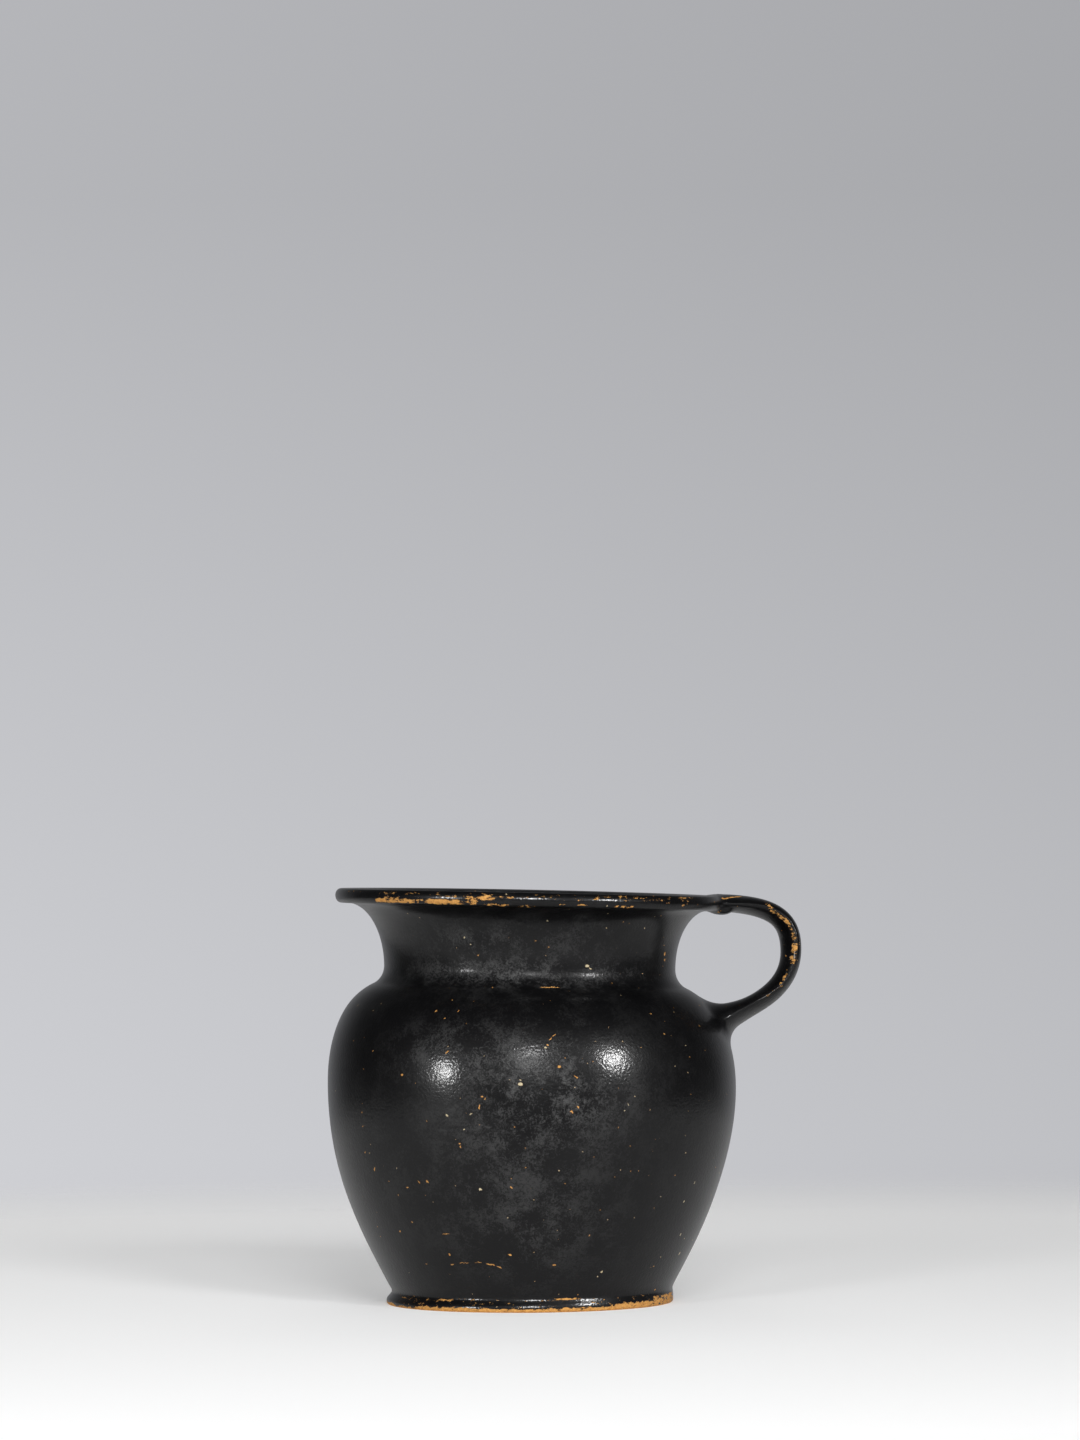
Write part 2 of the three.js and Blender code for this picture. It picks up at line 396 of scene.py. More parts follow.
    def _inside(self) -> np.ndarray:
        """The mouth's flare, the wall inside by the wall's thickness, and the floor to the axis.

        Returns:
            The outline's points, downwards.
        """
        flare_size = (self.flare_reach + self.wall, self.height - self.neck_height)
        flare = ellipse((self.neck_radius + self.flare_reach, self.neck_height), flare_size, 90, 180)
        throat = self.neck_radius - self.wall
        shoulder = inset(self.shoulder(), self.wall)
        top = shoulder(np.array([1.0]))[0]
        corner = bezier(
            (throat, self.neck_height),
            (throat, top[1] + self.throat_pull),
            (top[0] - self.throat_corner_pull[0], top[1] + self.throat_corner_pull[1]),
            tuple(top),
        )
        wall = spaced(backwards(inset(self.lower_wall(), self.wall)), self.steps.wall_inside)
        wall = wall[wall[:, 1] > self.floor_thickness + self.floor_round]
        above, last = wall[-2], wall[-1]
        lean = (above[0] - last[0]) / (above[1] - last[1])
        heel = (last[0] - lean * (last[1] - self.floor_thickness), self.floor_thickness)
        floor_edge = (heel[0] - self.floor_round, self.floor_thickness)
        middle = (0, self.floor_thickness)
        return np.vstack([
            spaced(flare, self.steps.flare_inside),
            spaced(corner, self.steps.corner_inside),
            spaced(backwards(shoulder), self.steps.shoulder_inside),
            wall[:-1],
            spaced(bezier(tuple(last), heel, floor_edge), self.steps.heel),
            spaced(bezier(floor_edge, middle), self.steps.flat),
            [middle],
        ])

    def grid(self) -> np.ndarray:
        """Carries the outline round the axis: (r cos a, r sin a, z) for every row and column.

        Returns:
            An array of rows by columns by 3. Column 0 faces the handle.
        """
        angle = np.arange(self.around) * 2 * np.pi / self.around
        radius, level = self.points[:, :1], self.points[:, 1:]
        flat = np.ones((1, self.around))
        return np.stack([radius * np.cos(angle), radius * np.sin(angle), level * flat], axis=2)

    def row_at(self, stretch: Stretch, level: float) -> int:
        """Finds the row of a stretch whose height is nearest to a level."""
        first, last = self.stretches[stretch]
        return first + int(np.argmin(np.abs(self.points[first:last, 1] - level)))

    def radius_at(self, level: float) -> float:
        """The outer radius at a level, found along the outside from the foot to the lip's edge."""
        outside = self.points[self.stretches[Stretch.OUTSIDE][0] : self.stretches[Stretch.LIP][1]]
        return float(np.interp(level, outside[:, 1], outside[:, 0]))

    def upper_outline(self) -> tuple[np.ndarray, np.ndarray]:
        """The edges of the outline above the belly, closed across the wall, as starts and ends."""
        upper = self.points[self.points[:, 1] > self.belly_height]
        return upper, np.roll(upper, -1, axis=0)

    def distance(self, points: np.ndarray) -> np.ndarray:
        """Measures how far points lie outside the clay above the belly, and below zero inside it.

        The outline is a closed polygon of radius and height. The distance is that to its nearest
        edge, and a point is inside where a level line out of it crosses an odd number of edges.

        Args:
            points: Places in millimetres, one to a row.

        Returns:
            The signed distances in millimetres.
        """
        place = np.column_stack([np.hypot(points[:, 0], points[:, 1]), points[:, 2]])
        start, end = self.upper_outline()
        edge = end - start
        apart = place[:, None, :] - start[None]
        share = np.clip((apart * edge).sum(2) / np.maximum((edge**2).sum(1), TINY), 0, 1)
        nearest = np.linalg.norm(apart - share[..., None] * edge, axis=2).min(1)
        level = place[:, 1:]
        spans = (start[None, :, 1] > level) != (end[None, :, 1] > level)
        rise = np.where(np.abs(edge[:, 1]) < TINY, TINY, edge[:, 1])
        crossing = start[None, :, 0] + (level - start[None, :, 1]) * edge[None, :, 0] / rise
        inside = (spans & (crossing > place[:, :1])).sum(1) % 2 == 1
        return np.where(inside, -nearest, nearest)


@dataclass
class PulledHandle:
    """The strap pulled out of wet clay and bent from the lip to the shoulder, in millimetres, upright.

    Its centre line lies in the plane through the axis. Its section is wide, flat and a little
    pointed at its two edges, and it is slightly twisted. The spans say from where to where along
    the strap something grows, as shares of its length from the lip.
    """

    reach: float = 63.8
    reach_height: float = 87.2
    lip_end: tuple[float, float] = (43.0, 98.3)
    root_end: tuple[float, float] = (43.6, 68.3)
    lip_pull: float = 16.7
    lip_rise: float = 0.4
    bend_pull_up: float = 8.0
    bend_pull_down: float = 12.2
    root_pull: float = 7.6
    root_slope: float = 27.0
    width: float = 11.0
    thickness: float = 4.7
    lip_width: float = 17.0
    lip_end_thickness: float = 4.3
    root_width: float = 17.0
    root_thickness: float = 8.0
    tip_thickness: float = 0.35
    bend_twist: float = -16.0
    root_twist: float = 8.0
    pointedness: float = 1.65
    lip_span: tuple[float, float] = (0.0, 0.32)
    root_span: tuple[float, float] = (0.72, 1.0)
    tip_span: tuple[float, float] = (-0.02, 0.1)
    twist_span: tuple[float, float] = (0.08, 0.4)
    untwist_span: tuple[float, float] = (0.4, 0.75)
    root_twist_span: tuple[float, float] = (0.6, 0.85)
    rough_step: float = 0.1
    stations: int = 260
    line: np.ndarray = field(init=False)
    tangent: np.ndarray = field(init=False)
    share: np.ndarray = field(init=False)

    def __post_init__(self) -> None:
        """Works out the centre line once, as many even steps with their directions."""
        slope = math.radians(self.root_slope)
        bend, lip, root = (self.reach, self.reach_height), self.lip_end, self.root_end
        out_of_lip = (lip[0] + self.lip_pull, lip[1] + self.lip_rise)
        into_root = (root[0] + math.cos(slope) * self.root_pull, root[1] + math.sin(slope) * self.root_pull)
        top = bezier(lip, out_of_lip, (bend[0], bend[1] + self.bend_pull_up), bend)
        bottom = bezier(bend, (bend[0], bend[1] - self.bend_pull_down), into_root, root)
        rough = np.vstack([spaced(top, self.rough_step), spaced(bottom, self.rough_step), [root]])
        length = lengths_along(rough)
        at = np.linspace(0, length[-1], self.stations)
        self.line = np.column_stack([np.interp(at, length, rough[:, k]) for k in range(2)])
        ahead = np.gradient(self.line, axis=0)
        self.tangent = ahead / np.linalg.norm(ahead, axis=1)[:, None]
        self.share = at / length[-1]

    def section(self, share: np.ndarray) -> tuple[np.ndarray, np.ndarray, np.ndarray]:
        """Gives the strap's half width, half thickness and twist along its length.

        Args:
            share: How far along, from 0 at the lip to 1 at the root.

        Returns:
            Half widths and half thicknesses in millimetres, and twists in radians.
        """
        near_lip = 1 - smoothstep(share, *self.lip_span)
        near_root = smoothstep(share, *self.root_span)
        tip = self.tip_thickness + (1 - self.tip_thickness) * np.sqrt(smoothstep(share, *self.tip_span))
        width = self.width + near_lip * (self.lip_width - self.width)
        width = width + near_root * (self.root_width - self.width)
        thickness = self.thickness + near_lip * (self.lip_end_thickness - self.thickness)
        thickness = thickness + near_root**2 * (self.root_thickness - self.thickness)
        twisted = smoothstep(share, *self.twist_span) * (1 - smoothstep(share, *self.untwist_span))
        at_root = smoothstep(share, *self.root_twist_span) * (1 - near_root)
        twist = self.bend_twist * twisted + self.root_twist * at_root
        return width / 2, thickness / 2 * tip, np.radians(twist)

    def tube(self, angles: np.ndarray, shares: np.ndarray) -> np.ndarray:
        """Carries the section along the centre line.

        A point is the centre line's point plus half width times the cosine of the angle sideways
        and half thickness times its sine outwards, both raised to two over the pointedness.

        Args:
            angles: Places round the section, in radians, by station and by point.
            shares: How far along each station lies, from 0 to 1.

        Returns:
            An array of stations by points by 3.
        """
        half_width, half_thickness, twist = (part[:, None] for part in self.section(shares))
        power = 2 / self.pointedness
        across = half_width * np.sign(np.cos(angles)) * np.abs(np.cos(angles)) ** power
        through = half_thickness * np.sign(np.sin(angles)) * np.abs(np.sin(angles)) ** power
        sideways = across * np.cos(twist) - through * np.sin(twist)
        out = across * np.sin(twist) + through * np.cos(twist)
        at = [np.interp(shares, self.share, self.line[:, k])[:, None] for k in range(2)]
        run, rise = (np.interp(shares, self.share, self.tangent[:, k])[:, None] for k in range(2))
        return np.stack([at[0] - rise * out, sideways, at[1] + run * out], axis=2)

    def distance(self, points: np.ndarray) -> np.ndarray:
        """Estimates how far points lie outside the strap, and below zero inside it.

        A point is measured in the section at the nearest place of the centre line, as the value
        of the section's rounded-diamond formula less one, over that formula's slope.

        Args:
            points: Places in millimetres, one to a row.

        Returns:
            The signed distances in millimetres.
        """
        flat = points[:, [0, 2]]
        gap = flat[:, None, :] - self.line[None]
        nearest = np.argmin((gap**2).sum(2), axis=1)
        from_line = gap[np.arange(len(flat)), nearest]
        along = (from_line * self.tangent[nearest]).sum(1)
        out = from_line[:, 1] * self.tangent[nearest, 0] - from_line[:, 0] * self.tangent[nearest, 1]
        step = self.share[1] - self.share[0]
        length = np.linalg.norm(self.line[1] - self.line[0])
        share = np.clip(self.share[nearest] + along / length * step, 0, 1)
        beyond = np.where((nearest == 0) | (nearest == self.stations - 1), along, 0)
        half_width, half_thickness, twist = self.section(share)
        across = np.abs(points[:, 1] * np.cos(twist) + out * np.sin(twist)) / half_width
        through = np.abs(-points[:, 1] * np.sin(twist) + out * np.cos(twist)) / half_thickness
        power = self.pointedness
        value = np.maximum((across**power + through**power) ** (1 / power), NEAR_LINE)
        run, rise = across ** (power - 1) / half_width, through ** (power - 1) / half_thickness
        slope = value ** (1 - power) * np.hypot(run, rise)
        beside = (value - 1) / np.maximum(slope, 0.5 / half_width)
        past_end = np.hypot(np.maximum(beside, 0), beyond) + np.minimum(beside, 0)
        return np.where(np.abs(beyond) > 0, past_end, beside)


@dataclass
class SmoothedJoint:
    """Clay pressed and smoothed over the joint of body and handle, as one rounded union."""

    body: TurnedBody
    handle: PulledHandle
    lip_softness: float = 1.5
    root_softness: float = 4.0
    softness_levels: tuple[float, float] = (80.0, 92.0)
    lump_place: tuple[float, float, float] = (46.6, -4.5, 96.4)
    lump_size: tuple[float, float, float] = (2.6, 2.8, 1.0)
    lump_softness: float = 0.9
    nudge: float = 0.04
    least_slope: float = 0.2
    longest_step: float = 1.5

    def distance(self, points: np.ndarray) -> np.ndarray:
        """Signed distance to the joined clay, with a fillet in the corners.

        The fillet is wide at the root and narrow at the lip. A little lump of pressed clay under
        the lip, an ellipsoid, is added in the same way.

        Args:
            points: Places in millimetres, one to a row.

        Returns:
            The signed distances in millimetres.
        """
        rise = smoothstep(points[:, 2], *self.softness_levels)
        softness = self.root_softness + (self.lip_softness - self.root_softness) * rise
        joined = soft_union(self.body.distance(points), self.handle.distance(points), softness)
        size = np.array(self.lump_size)
        lump = (np.linalg.norm((points - np.array(self.lump_place)) / size, axis=1) - 1) * size.min()
        return soft_union(joined, lump, self.lump_softness)

    def settle(self, points: np.ndarray, rounds: int) -> np.ndarray:
        """Moves points onto the joined surface, by Newton steps along the distance's slope.

        Args:
            points: Places in millimetres, along the last axis of an array of any shape.
            rounds: How many steps are taken.

        Returns:
            The moved points. Those well outside the body stay, on the strap alone.
        """
        settled = points.reshape(-1, 3).copy()
        near = self.body.distance(settled) < self.root_softness + 1
        moving = settled[near]
        for _ in range(rounds):
            value = self.distance(moving)
            ahead = [self.distance(moving + self.nudge * axis) for axis in np.eye(3)]
            slope = np.column_stack([(there - value) / self.nudge for there in ahead])
            steepness = np.maximum((slope**2).sum(1), self.least_slope)
            step = np.clip(value / steepness, -self.longest_step, self.longest_step)
            moving = moving - step[:, None] * slope
        settled[near] = moving
        return settled.reshape(points.shape)


@dataclass(frozen=True)
class Window:
    """A block of the body's grid that is left open, where the strap grows out of the wall.

    The inner row is on the side of the finger hole and the outer row on the far side.
    """

    inner_row: int
    outer_row: int
    half_columns: int

    def loop(self) -> tuple[np.ndarray, np.ndarray]:
        """Lists the rows and columns of the block's edge, once round.

        It runs along the inner row towards +Y, up the +Y side, back along the outer row and
        down the -Y side, so that the loops of both windows match point for point.

        Returns:
            The row numbers and the column numbers, which may be below zero.
        """
        half = self.half_columns
        way = 1 if self.outer_row > self.inner_row else -1
        columns = np.arange(-half, half)
        rows = np.arange(self.inner_row, self.outer_row, way)
        row = np.concatenate([
            np.full(2 * half, self.inner_row),
            rows,
            np.full(2 * half, self.outer_row),
            rows[::-1] + way,
        ])
        column = np.concatenate([columns, np.full(len(rows), half), -columns, np.full(len(rows), -half)])
        return row, column

    def covers(self, row: np.ndarray, column: np.ndarray, around: int) -> np.ndarray:
        """Tells which cells of the grid, named by their lowest row and column, lie in the block.

        Args:
            row: Row numbers of the cells.
            column: Column numbers of the cells.
            around: How many columns the grid has.

        Returns:
            True for each cell inside the block.
        """
        low, high = sorted((self.inner_row, self.outer_row))
        turned = (column + self.half_columns) % around
        return (row >= low) & (row < high) & (turned < 2 * self.half_columns)


@dataclass(frozen=True)
class SideStep:
    """A smooth shift of the level rings towards the handle, growing from one height to another."""

    amount: float
    start: float
    end: float

    def at(self, level: np.ndarray) -> np.ndarray:
        """How far the rings at each level have moved."""
        return self.amount * smoothstep(level, self.start, self.end)


@dataclass(frozen=True)
class Slump:
    """How the soft clay sagged towards the handle before it was fired, with the rim's slight warp."""

    rim_tilt: float = 1.65
    side_steps: tuple[SideStep, ...] = (
        SideStep(0.37, 1, 3),
        SideStep(0.48, 26, 54),
        SideStep(-0.28, 64, 77),
    )
    groove_shift: float = 0.22
    groove_spread: float = 1.1
    foot_height: float = 3.0
    height: float = 100.0
    rim_warp: float = 0.13
    rim_radius: float = 47.5
    warp_levels: tuple[float, float] = (80.0, 98.0)
    out_of_round: float = 0.09
    belly_radius: float = 50.0
    round_levels: tuple[float, float] = (4.0, 20.0)

    def apply(self, points: np.ndarray) -> np.ndarray:
        """Moves upright points to where the sagged clay has them.

        Level rings tilt by the rim's tilt times the square root of their share of the height. They
        shift sideways by smooth steps, and a narrow bump puts the groove off the foot's middle.
        The rim waves up and down twice a turn, and the whole wall is out of round by a slow wave
        of angle and height.

        Args:
            points: Places in millimetres, one to a row.

        Returns:
            The moved points.
        """
        x, y, z = points.T
        turn = np.arctan2(y, x)
        radius = np.hypot(x, y)
        risen = np.clip((z - self.foot_height) / (self.height - self.foot_height), 0, None)
        wave = np.sin(2 * turn + 0.9 + z * 0.035) + 0.6 * np.sin(3 * turn - 1.2 - z * 0.05)
        round_share = smoothstep(z, *self.round_levels) * radius / self.belly_radius
        bulge = self.out_of_round * wave * round_share
        out = np.minimum(radius / self.rim_radius, 1.1) ** 2
        warp = -self.rim_warp * np.cos(2 * turn) * smoothstep(z, *self.warp_levels) * out
        groove = self.groove_shift * np.exp(-(((z - self.foot_height) / self.groove_spread) ** 2))
        moved_x = x + groove + sum(step.at(z) for step in self.side_steps)
        fall = x * np.tan(math.radians(self.rim_tilt) * np.sqrt(risen))
        return np.column_stack([moved_x + bulge * np.cos(turn), y + bulge * np.sin(turn), z - fall + warp])


# Where the slip has worn off, bloomed and chipped


@dataclass(frozen=True)
class WornBand:
    """A stretch round the body where the slip is worn, as a soft block of angle and height.

    Angles are in degrees round the axis: 0 is the handle's side and -90 the front. The strength is
    about the share of the slip that is gone.
    """

    start: float
    end: float
    low: float
    high: float
    strength: float = 0.6
    softness: float = 0.4
    end_softness: float = 3.0

    @property
    def inner_radius(self) -> float:
        """The radius within which nothing is worn, which keeps the band off the inside."""
        return 44.5 if self.low > 90 else 31.0

    def worn(self, points: np.ndarray) -> np.ndarray:
        """How worn each upright point is, from 0 to the strength.

        Args:
            points: Upright places in millimetres, one to a row.

        Returns:
            How worn each is: the strength times a soft step at each end, below, above and inside.
        """
        turn = np.degrees(np.arctan2(points[:, 1], points[:, 0]))
        middle, half = (self.start + self.end) / 2, (self.end - self.start) / 2
        off = np.abs((turn - middle + 180) % 360 - 180)
        ends = 1 - smoothstep(off, half - self.end_softness, half + self.end_softness)
        rise = smoothstep(points[:, 2], self.low - self.softness, self.low + self.softness)
        fall = 1 - smoothstep(points[:, 2], self.high - self.softness, self.high + self.softness)
        radius = np.hypot(points[:, 0], points[:, 1])
        outside = smoothstep(radius, self.inner_radius, self.inner_radius + 1)
        return self.strength * ends * rise * fall * outside


@dataclass(frozen=True)
class WornSpot:
    """A small place where the slip is worn, as a soft ball round an upright point."""

    place: tuple[float, float, float]
    size: float
    strength: float = 0.7
    core: float = 0.35

    def worn(self, points: np.ndarray) -> np.ndarray:
        """How worn each upright point is, from 0 to the spot's strength."""
        away = np.linalg.norm(points - np.array(self.place), axis=1)
        return self.strength * (1 - smoothstep(away, self.size * self.core, self.size))


@dataclass(frozen=True)
class WornLine:
    """A ridge where the slip is worn, as a soft strip along a line of upright points."""

    line: tuple[tuple[float, float, float], ...]
    size: float
    strength: float = 0.6
    core: float = 0.3

    def worn(self, points: np.ndarray) -> np.ndarray:
        """How worn each upright point is, by its distance from the nearest stretch of the line.

        Args:
            points: Upright places in millimetres, one to a row.

        Returns:
            How worn each is, from 0 to the strength.
        """
        away = np.full(len(points), np.inf)
        for start, end in zip(np.array(self.line[:-1]), np.array(self.line[1:])):
            run = end - start
            share = np.clip((points - start) @ run / (run @ run), 0, 1)
            away = np.minimum(away, np.linalg.norm(points - start - share[:, None] * run, axis=1))
        return self.strength * (1 - smoothstep(away, self.size * self.core, self.size))


@dataclass
class Wear:
    """The places where handling and standing have worn the black slip through to the clay."""

    lip: list[WornBand] = field(default_factory=lambda: [
        WornBand(-142, -123.5, 96.8, 98.1, 0.66),
        WornBand(-138, -128, 97.6, 98.9, 0.46),
        WornBand(-123, -109, 96.7, 98.1, 0.7),
        WornBand(-118, -112.5, 98.5, 99.2, 0.62, end_softness=1),
        WornBand(-109, -104.5, 96.8, 98.9, 0.6, end_softness=1),
        WornBand(-104, -94, 96.5, 97.3, 0.6),
        WornBand(-105, -99.5, 97.9, 99.2, 0.62, end_softness=1),
        WornBand(-94, -88, 96.4, 97.1, 0.55),
        WornBand(-83, -78, 97.0, 97.7, 0.5),
        WornBand(-83, -80, 98.4, 98.9, 0.5, end_softness=0.8),
        WornBand(-77.5, -72, 97.0, 97.7, 0.6),
        WornBand(-72, -66, 97.0, 97.6, 0.4),
        WornBand(-65.5, -57.5, 96.8, 97.5, 0.64),
        WornBand(-56, -40, 96.9, 97.5, 0.3),
        WornBand(-39.6, -37.8, 97.2, 98.1, 0.7, end_softness=0.4),
        WornBand(-48, -45, 98.0, 98.4, 0.55, end_softness=0.8),
        WornBand(-160, -145, 99.1, 99.6, 0.5),
        WornBand(-150, -143, 97.4, 97.9, 0.4),
        WornBand(-43, -31, 99.2, 99.8, 0.56),
        WornBand(-142, -30, 98.2, 99.9, 0.33, 0.4),
        WornBand(30, 95, 97.0, 98.6, 0.5, 0.5),
        WornBand(120, 175, 96.8, 98.0, 0.45, 0.5),
    ])
    foot: list[WornBand] = field(default_factory=lambda: [
        WornBand(-166, -138, -1, 0.75, 0.56),
        WornBand(-142, -104, -1, 1.15, 0.68),
        WornBand(-108, -50, -1, 1.05, 0.72),
        WornBand(-56, -30, -1, 1.7, 0.7),
        WornBand(-33, -6, -1, 2.7, 0.6, end_softness=4),
        WornBand(-14, 30, -1, 1.7, 0.6, 0.6, end_softness=9),
        WornBand(-132, -122.5, 2.4, 2.8, 0.7, 0.2),
        WornBand(-82, -69, 2.9, 3.4, 0.74, 0.2),
        WornBand(-65, -60.5, 0.9, 2.1, 0.58),
        WornBand(-158, -146, 2.2, 2.6, 0.5, 0.2),
        WornBand(-160, -20, 0.9, 3.4, 0.3),
        WornBand(8, 200, -1, 1.0, 0.66),
        WornBand(60, 120, 0.6, 2.0, 0.5, 0.6, end_softness=12),
    ])
    handle: list[WornLine | WornSpot] = field(default_factory=lambda: [
        WornLine(((57.4, -4.7, 98.7), (58.9, -5.2, 97.2), (60.9, -5.0, 95.6)), 1.1, 0.54),
        WornLine(((60.6, -4.8, 95.9), (62.8, -5.1, 93.9), (63.6, -5.1, 92.6)), 1.1, 0.58),
        WornLine(((64.2, -5.0, 91.4), (64.6, -5.0, 89.0), (64.4, -4.9, 87.6)), 1.2, 0.46),
        WornLine(((64.5, -5.0, 88.0), (64.3, -4.9, 86.0), (63.8, -4.9, 84.0)), 1.7, 0.52),
        WornLine(((62.8, -4.8, 81.8), (62.0, -5.0, 80.0), (60.8, -5.1, 78.2)), 0.9, 0.58),
        WornLine(((60.8, -5.1, 78.2), (58.6, -5.2, 76.3), (56.0, -5.3, 74.9)), 0.7, 0.36),
        WornLine(((64.0, -4.0, 92.8), (65.6, -4.4, 88.6), (64.8, -4.6, 84.6)), 1.5, 0.32),
        WornSpot((61.0, -3.4, 92.4), 0.9, 0.45),
        WornSpot((62.4, -3.0, 85.6), 0.8, 0.6),
        WornLine(((47.2, -6.8, 99.6), (49.3, -4.8, 99.9), (51.7, -3.2, 100.1)), 0.8, 0.74),
        WornSpot((45.7, -12.0, 97.3), 0.9, 0.6),
        WornSpot((46.3, -7.4, 96.3), 1.1, 0.56),
        WornSpot((50.7, -6.6, 97.5), 0.8, 0.56),
        WornLine(((56.0, 3.6, 99.4), (60.4, 4.2, 97.0), (63.2, 4.4, 93.6)), 1.2, 0.5),
        WornLine(((65.6, 3.4, 89.6), (65.0, 4.0, 84.6), (62.6, 4.6, 80.4)), 1.2, 0.52),
    ])

    underside: float = 1.2
    underside_levels: tuple[float, float] = (0.02, 0.3)

    def worn(self, points: np.ndarray) -> np.ndarray:
        """Takes the strongest of the places at each point, and bares the underside.

        Args:
            points: Upright places in millimetres, one to a row.

        Returns:
            How worn each is, where more than 1 is bare for certain.
        """
        places = [*self.lip, *self.foot, *self.handle]
        under = (1 - smoothstep(points[:, 2], *self.underside_levels)) * self.underside
        return np.maximum(np.max([place.worn(points) for place in places], axis=0), under)


@dataclass(frozen=True)
class BloomPatch:
    """A cloudy, weathered patch of slip, fading out from a middle in angle and height."""

    turn: float
    level: float
    half_turn: float
    half_level: float
    strength: float = 1.0

    def bloomed(self, points: np.ndarray) -> np.ndarray:
        """The patch's strength times a bell curve of the distance from its middle.

        Args:
            points: Upright places in millimetres, one to a row.

        Returns:
            How dull and grey the patch makes each, from 0 to its strength.
        """
        turn = np.degrees(np.arctan2(points[:, 1], points[:, 0]))
        across = ((turn - self.turn + 180) % 360 - 180) / self.half_turn
        up = (points[:, 2] - self.level) / self.half_level
        return self.strength * np.exp(-(across**2) - up**2)


@dataclass
class Bloom:
    """Where the black has gone greyish and dull in the ground, and the dull slip of the inside."""

    patches: list[BloomPatch] = field(default_factory=lambda: [
        BloomPatch(-86, 55, 20, 11, 1.0),
        BloomPatch(-94, 38, 24, 14, 0.42),
        BloomPatch(-155, 34, 26, 16, 0.12),
        BloomPatch(-114, 62, 16, 6, 0.5),
        BloomPatch(-92, 20, 24, 10, 0.35),
        BloomPatch(-112, 88, 22, 5, 0.5),
        BloomPatch(-76, 89, 20, 5.5, 0.3),
        BloomPatch(-92, 80.5, 46, 3.2, 0.85),
        BloomPatch(90, 50, 60, 22, 0.6),
        BloomPatch(150, 85, 40, 8, 0.6),
        BloomPatch(60, 20, 40, 12, 0.5),
    ])
    everywhere: float = 0.06
    inside: float = 0.75

    def bloomed(self, points: np.ndarray, inside: np.ndarray) -> np.ndarray:
        """Adds up the patches, up to 1, and the inside's own dullness.

        Args:
            points: Upright places in millimetres, one to a row.
            inside: 1 for each point on the inner wall or the floor, else 0.

        Returns:
            How dull and grey the slip is, from 0 to 1.
        """
        total = np.sum([patch.bloomed(points) for patch in self.patches], axis=0)
        return np.clip(np.maximum(total + self.everywhere, self.inside * inside), 0, 1)


class Bare(Enum):
    """What a chip or speck shows: the fired clay, or a pale lime crust that has set in it."""

    CLAY = "clay"
    LIME = "lime"


@dataclass(frozen=True)
class Chip:
    """One small chip or scratch in the slip, as a flat ellipse on the outer wall.

    The angle round the axis and the lean are in degrees, the level, length and width in
    millimetres. A lean of 0 runs level and 90 runs upright.
    """

    turn: float
    level: float
    length: float
    width: float
    lean: float = 0.0
    bare: Bare = Bare.CLAY


